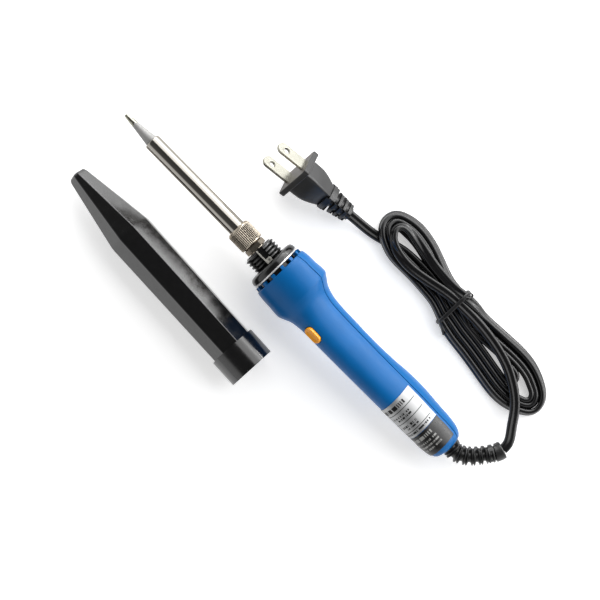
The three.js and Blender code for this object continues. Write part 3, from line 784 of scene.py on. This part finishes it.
def cord():
    """The cord's piece, its centreline in metres and its length in metres."""
    rows, _ = smooth_route(cord_route(), ROUTE_STEP)
    for _ in range(SMOOTHING_PASSES):
        rows[1:-1] += (rows[:-2] + rows[2:] - 2 * rows[1:-1]) / 4
    line, rolls = rows[:, :3], np.radians(rows[:, 3])
    section = cord_section()

    def axes(i, forward):
        left = UP.cross(forward).normalized()
        above = forward.cross(left)
        cosine, sine = cos(rolls[i]), sin(rolls[i])
        return above * cosine + left * sine, left * cosine - above * sine

    shape = swept(line, axes, lambda i: section)
    lead = piece("cord", shape, TABLE, CORD_SHEATH,
                 ["cord_lead", "cord_hank", "cord_tail"], sharp=60)
    length = float(np.linalg.norm(np.diff(line, axis=0), axis=1).sum())
    return lead, line * MM, length * MM


def wire(rows, width, height, step=0.5, sides=12):
    """A flat-oval wire along a route, its width level and its height upright."""
    line, _ = smooth_route(rows, step)
    oval = [(width / 2 * cos(a), height / 2 * sin(a)) for a in round_angles(sides)]

    def axes(_, forward):
        across = Vector((1, 0, 0)) - forward * forward.x
        if across.length < 0.2:
            across = UP - forward * forward.z
        across.normalize()
        return across, forward.cross(across)

    return swept(line, axes, lambda i: oval)


def by_tie(rows):
    """Rows given from the tie's station, as a route on the table."""
    return [(TIE_X + x, y, z) for x, y, z in rows]


def cord_tie():
    """A wire tie: a flat band round the hank, one end curled into a loop and the other bent down."""
    round_hank = [(57.2, 2.2), (56.6, 5.2), (58.2, 8.8), (62.5, 10.2), (69.0, 11.0), (74.6, 11.2),
                  (77.6, 8.8), (77.9, 4.0), (76.2, 0.75), (67.0, 0.62), (59.0, 0.75), (57.0, 2.4)]
    band = wire(by_tie([(0, y, z) for y, z in round_hank]), 1.9, 1.0)
    loop_end = [(0, 73.6, 11.4), (0.3, 75.2, 11.5), (0.1, 76.6, 11.3), (0.8, 77.6, 10.9), (1.9, 77.6, 10.6),
                (2.4, 76.7, 10.6), (2.0, 75.7, 10.9), (1.1, 75.2, 11.3), (0.2, 74.4, 11.7)]
    tail = [(0, 60.0, 10.4), (-0.2, 58.1, 9.8), (0.9, 57.2, 8.7), (2.3, 56.6, 7.4), (4.5, 55.6, 5.2),
            (6.4, 54.8, 3.2)]
    shape = joined(band, wire(by_tie(loop_end), 1.0, 0.8), wire(by_tie(tail), 1.3, 0.9))
    return piece("cord_tie", shape, TABLE, TIE_PLASTIC, sharp=60)


# ----- cord guard

GUARD_TURN = [
    (114.5, 19.0, 8.7), (118.9, 21.2, 8.9), (122.6, 24.9, 9.2), (126.6, 30.6, 9.6), (128.2, 33.4, 9.8),
    (129.0, 36.0, 9.9),
]
GUARD_LEAN = 0.75  # from straight up to the outer side of the bend
GUARD_SLOTS = 7
GUARD_SLOT_PITCH = 3.45
GUARD_FIRST_SLOT = 7.6
GUARD_SLOT_WIDTH = 1.5
GUARD_SLOT_DEPTH = 1.7


def on_axis(x):
    """A point on the iron's axis, in the table's millimetres."""
    return IRON @ Vector((x, 0, 0)) / MM


def groove(distance, half, soft):
    """1 inside a groove of a half-width, falling to 0 over a soft edge."""
    t = min(1.0, max(0.0, (half + soft / 2 - abs(distance)) / soft))
    return t * t * (3 - 2 * t)


def wrapped(angle):
    """The same angle between half a turn back and half a turn forward."""
    return atan2(sin(angle), cos(angle))


def guard_radius(along, length, angle):
    """Radius of the guard at a distance along it and an angle from straight up.

    On the outer side of the bend broad and narrow slots alternate. The narrow have broad ones behind.
    """
    share = along / length
    radius = 4.95 - 0.55 * share
    radius += 0.65 * groove(along - 1.2, 1.2, 0.4)
    end = length - along
    if end < 0.6:
        radius -= 0.45 * (1 - end / 0.6) ** 2
    towards_bend = wrapped(angle - GUARD_LEAN)
    behind = wrapped(angle - GUARD_LEAN - pi)
    for i in range(GUARD_SLOTS):
        last = i == GUARD_SLOTS - 1
        centre = GUARD_FIRST_SLOT + i * GUARD_SLOT_PITCH
        between = centre + GUARD_SLOT_PITCH / 2
        half = GUARD_SLOT_WIDTH / 2 * (0.7 if last else 1.0)
        reach = 0.9 if last else 1.55
        radius -= GUARD_SLOT_DEPTH * groove(along - centre, half, 0.6) * groove(towards_bend, reach, 0.5)
        radius -= 0.8 * groove(along - between, 0.28, 0.3) * groove(towards_bend, 1.85, 0.4)
        radius -= GUARD_SLOT_DEPTH * groove(along - between, half, 0.6) * groove(behind, 1.1, 0.5)
    return radius


def cord_guard():
    """A slotted rubber sleeve, straight out of the handle and then round to the cord."""
    start = [tuple(on_axis(x)) for x in (213.9, 216.5, 220.0)]
    line, along = smooth_route(start + GUARD_TURN, 0.2)
    angles = round_angles(84)

    def axes(_, forward):
        right = forward.cross(UP).normalized()
        return right.cross(forward), right

    def section(i):
        radii = [guard_radius(along[i], along[-1], a) for a in angles]
        return [(r * cos(a), r * sin(a)) for r, a in zip(radii, angles)]

    return piece("cord_guard", swept(line, axes, section), TABLE, RUBBER, sharp=50)


# ----- plug


def rounded_block(x, across, thick, power, sides=96):
    """A ring across X shaped like a rectangle with rounded corners."""
    ring = []
    for angle in round_angles(sides):
        c, s = cos(angle), sin(angle)
        y = across * copysign(abs(c) ** (2 / power), c)
        z = thick * copysign(abs(s) ** (2 / power), s)
        ring.append((x, y, z))
    return ring


# Station from the face, half-width across the blades and half-height.
PLUG_BODY = [
    (2.2, 7.9, 6.0), (6.0, 7.9, 6.0), (10.0, 7.6, 5.9), (14.0, 6.6, 5.2), (18.2, 5.2, 4.1),
    (19.2, 4.9, 3.9),
]
PLUG_FLANGE = [(0.0, 11.0, 7.8), (0.3, 11.2, 8.0), (2.6, 11.2, 8.0), (2.9, 11.0, 7.8)]
# Where each rib starts, how wide it is and its half-height.
PLUG_RIBS = [(18.9, 3.6, 5.5), (24.6, 1.7, 4.7), (27.8, 1.7, 4.4), (31.0, 1.9, 4.0)]
PLUG_CORE_RADIUS = 3.3
RIB_STAGGER = 1.4


def plug_rib_radius(x, angle):
    """The ribbed end of the plug: square ribs, those on two of its faces ahead of those on the others."""
    core = PLUG_CORE_RADIUS
    to_side = abs(cos(angle)) > abs(sin(angle))
    x += 0 if to_side else RIB_STAGGER
    corner = 1 / max(abs(cos(angle)), abs(sin(angle))) ** 0.6
    radius = core
    for start, wide, reach in PLUG_RIBS:
        middle = start + wide / 2
        radius = max(radius, core + (reach * corner - core) * groove(x - middle, wide / 2, 0.4))
    return radius


def plug_body():
    """A tapering moulding behind a square-cornered flange, with a ribbed strain relief."""
    body = rounded(loft([rounded_block(*row, 11) for row in smooth_rows(PLUG_BODY, 18)]), 0.3, 50)
    flange = rounded(loft([rounded_block(*row, 18) for row in PLUG_FLANGE]), 0.25, 30)
    steps = np.arange(18.0, 33.52, 0.13)
    ribs = loft([circle(x, lambda a, x=x: plug_rib_radius(x, a), 72) for x in steps])
    plug = piece("plug_body", joined(body, flange, ribs), PLUG, VINYL, sharp=40)
    partly(plug, PLUG, FIBRE, lambda place: place.x < 0.01)
    return plug


def plate_with_hole(outline, hole, thickness, edge):
    """A flat plate in the XY plane with one hole, its edges rounded."""
    data = bpy.data.curves.new("plate", "CURVE")
    data.dimensions = "2D"
    data.fill_mode = "BOTH"
    data.extrude = thickness / 2 - edge
    data.bevel_depth = edge
    data.bevel_resolution = 2
    data.offset = -edge
    for points in (outline, hole):
        spline = data.splines.new("POLY")
        spline.points.add(len(points) - 1)
        for point, (x, y) in zip(spline.points, points):
            point.co = (x, y, 0, 1)
        spline.use_cyclic_u = True
    drawn = linked("plate", data)
    graph = bpy.context.evaluated_depsgraph_get()
    mesh = bpy.data.meshes.new_from_object(drawn.evaluated_get(graph))
    bpy.data.objects.remove(drawn)
    shape = linked("plate", mesh)
    bm = bmesh.new()
    bm.from_mesh(mesh)
    bmesh.ops.remove_doubles(bm, verts=bm.verts, dist=1e-4)
    bm.to_mesh(mesh)
    bm.free()
    return shape


def plug_blade(index, side):
    """A flat blade with a round end and a hole through it, to one side of the plug's middle."""
    half = BLADE_WIDTH / 2
    nose = -BLADE_REACH + half * 0.85
    outline = [(3.3, -half), (3.3, half)]
    for j in range(17):
        angle = pi / 2 + pi * j / 16
        outline.append((nose + half * 0.85 * cos(angle), half * sin(angle)))
    wide = BLADE_HOLE_RADIUS
    hole = [(BLADE_HOLE_X + wide * cos(a), wide * sin(a)) for a in round_angles(32)]
    shape = plate_with_hole(outline, hole[::-1], BLADE_THICKNESS, 0.14)
    stand = Matrix.Translation((0, side * BLADE_SPACING / 2, 0)) @ Matrix.Rotation(pi / 2, 4, "X")
    return piece(f"plug_blade_{index}", shape, PLUG @ stand, BLADE)


# ----- tip, barrel, nut and neck


def soldering_tip():
    """A conical bit. Its point carries a bright, slightly lumpy coat of solder."""
    profile = [(0, 0), (0, 0.6), (0.12, 0.85), (0.4, 1.02)]
    profile += [(x, 1.02 + (x - 0.4) * 0.116) for x in np.linspace(0.9, SOLDER_REAR, 12)]
    profile += [(6.5, 1.66), (BARREL_FRONT, 3.1), (19.1, 3.1), (19.1, TIP_SKIRT_RADIUS),
                (TIP_REAR, TIP_SKIRT_RADIUS), (TIP_REAR, HEATER_BORE), (15.2, HEATER_BORE), (14, 0)]
    shape = turned(profile, 72)
    for vertex in shape.data.vertices:
        x, y, z = vertex.co
        if 0.2 < x < 6.3:
            lump = noise.noise(Vector((x * 0.8, y * 0.9, z * 0.9))) * 0.09
            flat = 1 - 0.10 * max(0, 1 - x / 4)
            vertex.co = (x, y * (1 + lump), z * (1 + lump) * flat)
    tip = piece("soldering_tip", shape, IRON, TIP)

    def coated(place):
        wave = 0.35 * sin(3 * atan2(place.z, place.y))
        return place.x < SOLDER_REAR + wave

    partly(tip, IRON, SOLDER, coated)


def barrel_tube():
    """A polished tube with a rounded mouth, and a collar at its rear that the nut holds."""
    rear = NUT_FRONT + 2.3
    profile = after(BARREL_FRONT, [(0, 3.35), (0, 3.55), (0.12, 3.78), (0.45, 3.97), (1.0, 4.05)])
    profile += after(rear, [(-1.4, BARREL_RADIUS), (-1.4, 5.0), (0, 5.0), (0, 3.75)])
    profile += after(BARREL_FRONT, [(1.4, 3.75), (1.4, 3.35)])
    piece("barrel_tube", turned(profile, 96), IRON, STEEL, sharp=30)


def barrel_nut():
    """A nut with straight knurling, its grooves darkened with painted shade, between a smooth chamfer and a
    thin rim.
    """
    steps = 12 * NUT_GROOVES
    mouth = BARREL_RADIUS + GAP
    thread = THREAD_RADIUS + 0.35

    def knurled(depth):
        def radius(angle):
            across = abs((angle * NUT_GROOVES / (2 * pi)) % 1 - 0.5) * 2
            return NUT_RADIUS - depth * across**2

        return radius

    deep = knurled(NUT_GROOVE_DEPTH)
    profile = after(NUT_FRONT, [(0, mouth), (0, 5.1), (0.15, 5.3), (0.9, 6.0), (1.1, 6.05)])
    profile += after(NUT_FRONT, [(1.35, knurled(0.2)), (1.6, deep)])
    profile += after(NUT_REAR, [(-0.75, deep), (-0.55, knurled(0.15)), (-0.45, 6.12), (-0.1, 6.0)])
    profile += after(NUT_REAR, [(0, 5.8), (0, thread)])
    profile += after(NUT_FRONT, [(0.6, thread), (0.6, mouth)])
    shape = loft([circle(x, radius, steps) for x, radius in profile], looped=True)
    nut = piece("barrel_nut", shape, IRON, NICKEL, sharp=40)

    # The faces deep in the grooves get the near-black finish: painted shade in the grooves.
    def in_groove(place):
        along = NUT_FRONT + 1.5 < place.x < NUT_REAR - 0.6
        return along and thread + 0.05 < hypot(place.y, place.z) < NUT_RADIUS - 0.2

    partly(nut, IRON, GROOVE_SHADE, in_groove)


def threaded_bush():
    """The bush behind the nut: a thread at its front, a hexagon, and a spigot in the nose."""
    front, rear = NUT_FRONT + 2.6, NUT_REAR + 0.4
    bore, root, spigot = 3.9, 4.55, 4.4
    profile = [(front, bore), (front, 4.5)]
    x = front + 0.3
    while x + THREAD_PITCH < rear:
        profile += [(x, root), (x + THREAD_PITCH * 0.4, THREAD_RADIUS),
                    (x + THREAD_PITCH * 0.55, THREAD_RADIUS)]
        x += THREAD_PITCH
    profile += [(x, root), (rear, spigot), (BUSH_REAR, spigot), (BUSH_REAR, bore)]
    thread = turned(profile, 72)
    corner = NECK_ACROSS_FLATS / sqrt(3)
    rings = []
    for x, scale in [(NUT_REAR + GAP, 0.93), (NUT_REAR + GAP + 0.25, 1), (NECK_REAR, 1)]:
        rings.append(circle(x, corner * scale, 6))
    hexagon = rounded(loft(rings), 0.18, 25)
    piece("threaded_bush", joined(thread, hexagon), IRON, NICKEL, sharp=25)


# ----- nose


NOSE_RIBS = 4
FLANGE_ROOT = 10.1


def nose_insulator():
    """A ribbed nose, slotted for the earth strip, with a flared flange and a spigot behind it."""
    pitch = (RIBS_REAR - NOSE_FRONT - 0.6) / NOSE_RIBS
    profile = after(NOSE_FRONT, [(0, NOSE_BORE), (0, 6.9), (0.25, 7.3), (0.6, 7.4)])
    for i in range(NOSE_RIBS):
        rib = [(0.12, 8.1), (0.25, 8.45), (0.45, 8.5), (0.65, 8.35), (0.8, 7.9), (1.0, 7.35)]
        profile += after(NOSE_FRONT + 0.6 + i * pitch, [(share * pitch, radius) for share, radius in rib])
    profile += [(RIBS_REAR + 0.1, 8.6), (RIBS_REAR + 0.25, FLANGE_ROOT)]
    for step in range(1, 11):
        angle = pi / 2 * step / 10
        x = RIBS_REAR + 0.3 + 2.9 * (1 - cos(angle))
        profile.append((x, FLANGE_ROOT + (FLANGE_RADIUS - FLANGE_ROOT) * sin(angle) ** 0.7))
    profile += [(FLANGE_REAR, FLANGE_RADIUS), (FLANGE_REAR, SPIGOT_RADIUS), (SPIGOT_REAR, SPIGOT_RADIUS),
                (SPIGOT_REAR, POCKET_RADIUS), (POCKET_FRONT, POCKET_RADIUS), (POCKET_FRONT, NOSE_BORE)]
    shape = turned(profile, 120)
    slot = box(NOSE_FRONT - 1, RIBS_REAR + 0.55, -1.6, 2.1, 5.7, 12)
    combined(shape, slot, "DIFFERENCE")
    rounded(shape, 0.12, 40)
    piece("nose_insulator", shape, IRON, PHENOLIC, sharp=35)


def earth_strip():
    """A strip on edge in the nose's slot, and the lug that its rear end is folded into."""
    strip = box(NOSE_FRONT + 0.1, RIBS_REAR + 0.3, -1.5, -0.8, 5.9, 8.65)
    rounded(strip, 0.1, 30)
    outline = after(RIBS_REAR, [(-2.0, -1.0), (0.3, -1.0), (0.3, 1.7), (-1.4, 1.8), (-2.0, 1.2)])
    hole = [(RIBS_REAR - 0.75 + 0.55 * cos(a), 0.45 - 0.55 * sin(a)) for a in round_angles(24)]
    lug = plate_with_hole(outline, hole, 0.7, 0.08)
    lug.data.transform(Matrix.Translation((0, 0, 8.0)))
    rivet = rounded(post(RIBS_REAR - 0.75, 0.45, 6.2, 7.2, 0.5, 24), 0.1)
    piece("earth_strip", joined(strip, lug, rivet), IRON, TINNED)


def retaining_ring():
    """A thin ring with a rounded rim between the flange and the handle."""
    inner, outer = SPIGOT_RADIUS + GAP, FLANGE_RADIUS
    profile = after(FLANGE_REAR + GAP, [(0, inner), (0, outer - 0.1), (0.12, outer + 0.05)])
    profile += after(RING_REAR, [(-0.15, outer + 0.15), (0, outer), (0, inner)])
    piece("retaining_ring", turned(profile, 120), IRON, RING_PLATE, sharp=50)


# ----- handle

# Station, half-width to each side, height to the button side and to the under side.
HANDLE_OUTLINE = [
    (101.4, 13.9, 13.8, 13.8), (103.1, 13.95, 13.85, 13.85), (103.4, 14.9, 14.2, 14.3),
    (104.2, 15.2, 14.2, 14.4), (112.7, 15.9, 14.7, 15.0), (117.2, 16.1, 15.1, 15.5),
    (118.4, 16.0, 15.1, 15.3), (119.4, 15.3, 15.0, 14.7), (121.0, 14.2, 14.8, 13.7),
    (123.3, 12.4, 14.4, 12.4), (128.1, 10.4, 14.3, 10.9), (135.9, 9.4, 14.6, 9.9),
    (143.5, 9.2, 14.7, 9.8), (158.2, 9.1, 14.6, 9.4), (172.5, 9.1, 14.3, 10.6),
    (181.1, 9.2, 14.0, 12.0), (189.7, 9.3, 13.5, 12.4), (204.2, 8.9, 13.2, 11.2),
    (212.9, 8.7, 12.6, 10.2), (217.0, 8.0, 11.4, 9.2), (219.2, 6.9, 9.4, 8.0),
    (220.0, 6.2, 7.4, 7.0),
]
TAIL_HOLE = 5.25
NOTCHES = 14
TAB_WIDTH = 7.0  # degrees round the handle's axis
NOTCH_DEPTH = 1.7


def handle_section(x):
    """Half-width, upper height and under height of the handle at a station."""
    return outline_at(np.array(HANDLE_OUTLINE), x)[1:]


def handle_point(x, angle, proud=0.0):
    """A point on the handle's surface, or proud of it, at an angle round its axis."""
    side, top, under = handle_section(x)
    height = top if sin(angle) >= 0 else under
    return Vector((x, (side + proud) * cos(angle), (height + proud) * sin(angle)))


def half_shell(upper):
    """One half of the handle as a wall, open at the front and round the tail hole.

    Its front edge is cut into notches, with a tab between each and the next.
    """
    stations = [HANDLE_FRONT, HANDLE_FRONT + NOTCH_DEPTH, 103.4, 104.2]
    stations += list(np.arange(105.6, 116.8, 1.4)) + list(np.arange(117.2, 124.5, 0.6))
    stations += list(np.arange(125.2, 130.5, 1.3)) + list(np.arange(131.5, 211.5, 2.6))
    stations += list(np.arange(212.5, 219.0, 0.8)) + [219.2, 219.55, 219.8, IRON_LENGTH]
    pitch = 360 / NOTCHES
    tab_start, tab_end = (pitch - TAB_WIDTH) / 2, (pitch + TAB_WIDTH) / 2
    steps = [0.0, tab_start / 3, 2 * tab_start / 3, tab_start, pitch / 2]
    steps += [tab_end, tab_end + tab_start / 3, tab_end + 2 * tab_start / 3]
    angles = [n * pitch + s for n in range(NOTCHES // 2) for s in steps] + [180.0]
    if not upper:
        angles = [a + 180 for a in angles]
    points = []
    for x in stations:
        points += [handle_point(x, radians(a)) for a in angles]
    for a in angles:
        y, z = TAIL_HOLE * cos(radians(a)), TAIL_HOLE * sin(radians(a))
        points.append(Vector((IRON_LENGTH, y, z)))
    for point in points:
        point.z = max(point.z, SEAM / 2) if upper else min(point.z, -SEAM / 2)

    def kept(i, j):
        return i > 0 or tab_start <= steps[j % len(steps)] < tab_end

    shape = solid(points, sheet_faces(len(stations) + 1, len(angles), kept))
    outward = sum(f.normal.dot(Vector((0, f.center.y, f.center.z))) for f in shape.data.polygons)
    if outward < 0:
        shape.data.flip_normals()
    return thickened(shape, SHELL_WALL, -1)


def handle_shells():
    """The shell with the button's hole, and the one with the screw posts and their holes."""
    top = half_shell(True)
    hole = loft([stadium(BUTTON_X, BUTTON_LENGTH + 2 * GAP, BUTTON_WIDTH + 2 * GAP, z) for z in (8, 20)])
    combined(top, hole, "DIFFERENCE")
    rounded(top, 0.16, 40)
    piece("handle_top_shell", top, HANDLE, BLUE, sharp=45)

    bottom = half_shell(False)
    leaning = Matrix.Rotation(radians(SCREW_ROLL - HANDLE_ROLL), 4, "X")
    outside = -22
    for x, under in SCREWS:
        steps = [
            (under + 1.2, -1.0, SCREW_POST_RADIUS, "UNION"),
            (outside, under + 3.6, SCREW_HEAD_BORE, "DIFFERENCE"),
            (outside, 1, SCREW_SHANK_BORE, "DIFFERENCE"),
        ]
        for low, high, radius, operation in steps:
            tool = post(x, 0, low, high, radius)
            tool.data.transform(leaning)
            combined(bottom, tool, operation)
    rounded(bottom, 0.16, 40)
    piece("handle_bottom_shell", bottom, HANDLE, BLUE, sharp=45)


def plate(name, x0, x1, material):
    """A thin plate glued round the tail on the button side."""
    length_steps, round_steps = 26, 72
    points, places = [], []
    for i in range(length_steps + 1):
        x = x0 + (x1 - x0) * i / length_steps
        _, top, _ = handle_section(x)
        start = asin(1.8 / top)
        for j in range(round_steps + 1):
            share = j / round_steps
            points.append(handle_point(x, start + (pi - 2 * start) * share, 0.06))
            places.append((i / length_steps, share))
    shape = solid(points, sheet_faces(length_steps + 1, round_steps + 1))
    layer = shape.data.uv_layers.new(name="plate")
    for loop in shape.data.loops:
        layer.data[loop.index].uv = places[loop.vertex_index]
    if sum(f.normal.z for f in shape.data.polygons) < 0:
        shape.data.flip_normals()
    piece(name, thickened(shape, 0.22, 1), HANDLE, material, sharp=50)


def boost_button():
    """A slot-shaped button with a rounded rim and a dished face."""
    rows = [(10.1, 0.0), (14.6, 0.0)]
    rows += after(BUTTON_TOP, [(-0.35, 0.06), (-0.1, 0.2), (0, 0.42), (-0.03, 0.62), (-0.2, 0.85)])
    rows += after(BUTTON_TOP, [(-0.42, 1.25), (-0.55, 1.75), (-0.6, 2.1)])
    rings = [stadium(BUTTON_X, BUTTON_LENGTH - 2 * i, BUTTON_WIDTH - 2 * i, z, 72) for z, i in rows]
    lip = rounded(loft([stadium(BUTTON_X, 12.2, 4.4, z) for z in (10.1, 11.0)]), 0.1)
    stem = post(SWITCH_X, 0, 8.6, 10.3, 1.5, 32)
    shape = joined(loft(rings), lip, stem)
    piece("boost_button", shape, HANDLE, ORANGE, sharp=50)


# ----- tip cap

# Station, distance from the axis to the broad sides, and facet.
CAP_OUTLINE = [(0.0, 3.3, 0.26), (0.25, 4.0, 0.26), (0.9, 4.55, 0.26), (2.4, 5.0, 0.265),
               (CAP_KNEE - 1.2, 10.78, 0.397), (CAP_KNEE, 10.95, 0.4), (CAP_KNEE + 1.5, 10.96, 0.4),
               (CAP_COLLAR + 1, 10.5, 0.414)]
CAP_WALL = 1.6


def octagon(x, reach, facet):
    """A ring with eight corners. Facet is half of each broad side, as a share of its reach."""
    half = facet * reach
    corners = [(reach, half), (half, reach), (-half, reach), (-reach, half),
               (-reach, -half), (-half, -reach), (half, -reach), (reach, -half)]
    return [(x, y, z) for y, z in corners]


def tip_cap():
    """A long faceted cap with a round collar, hollow to take the iron's nose."""
    body = loft([octagon(*row) for row in CAP_OUTLINE])
    rounded(body, 0.3, 20, 3)
    inner = [octagon(x, reach - CAP_WALL, facet) for x, reach, facet in CAP_OUTLINE[3:-1]]
    inner.append(octagon(CAP_COLLAR + 2, 10.5 - CAP_WALL, 0.414))
    combined(body, loft(inner), "DIFFERENCE")
    outer, bore = COLLAR_RADIUS, COLLAR_RADIUS - 1.2
    profile = after(CAP_COLLAR, [(0, 9.4), (0, outer - 0.35), (0.12, outer - 0.1), (0.4, outer)])
    profile += after(CAP_LENGTH, [(-0.3, outer), (-0.06, outer - 0.12), (0, outer - 0.35)])
    profile += after(CAP_LENGTH, [(0, bore + 0.15), (-0.15, bore)])
    profile += after(CAP_COLLAR, [(1.2, bore), (1.2, 9.4)])
    collar = turned(profile, 120)
    piece("tip_cap", joined(body, collar), CAP, CAP_PLASTIC, sharp=30)


# ----- assembly

studio()
cord_piece, cord_line, cord_length = cord()
tie_piece = cord_tie()
guard_piece = cord_guard()
plug_pieces = [plug_body(), plug_blade(1, -1), plug_blade(2, 1)]
soldering_tip()
barrel_tube()
barrel_nut()
threaded_bush()
nose_insulator()
earth_strip()
retaining_ring()
handle_shells()
plate("rating_plate", 183.9, 203.5, SILVER_PLATE)
plate("caution_plate", 203.8, 216.2, BLACK_PLATE)
boost_button()
tip_cap()
dress_nodes()
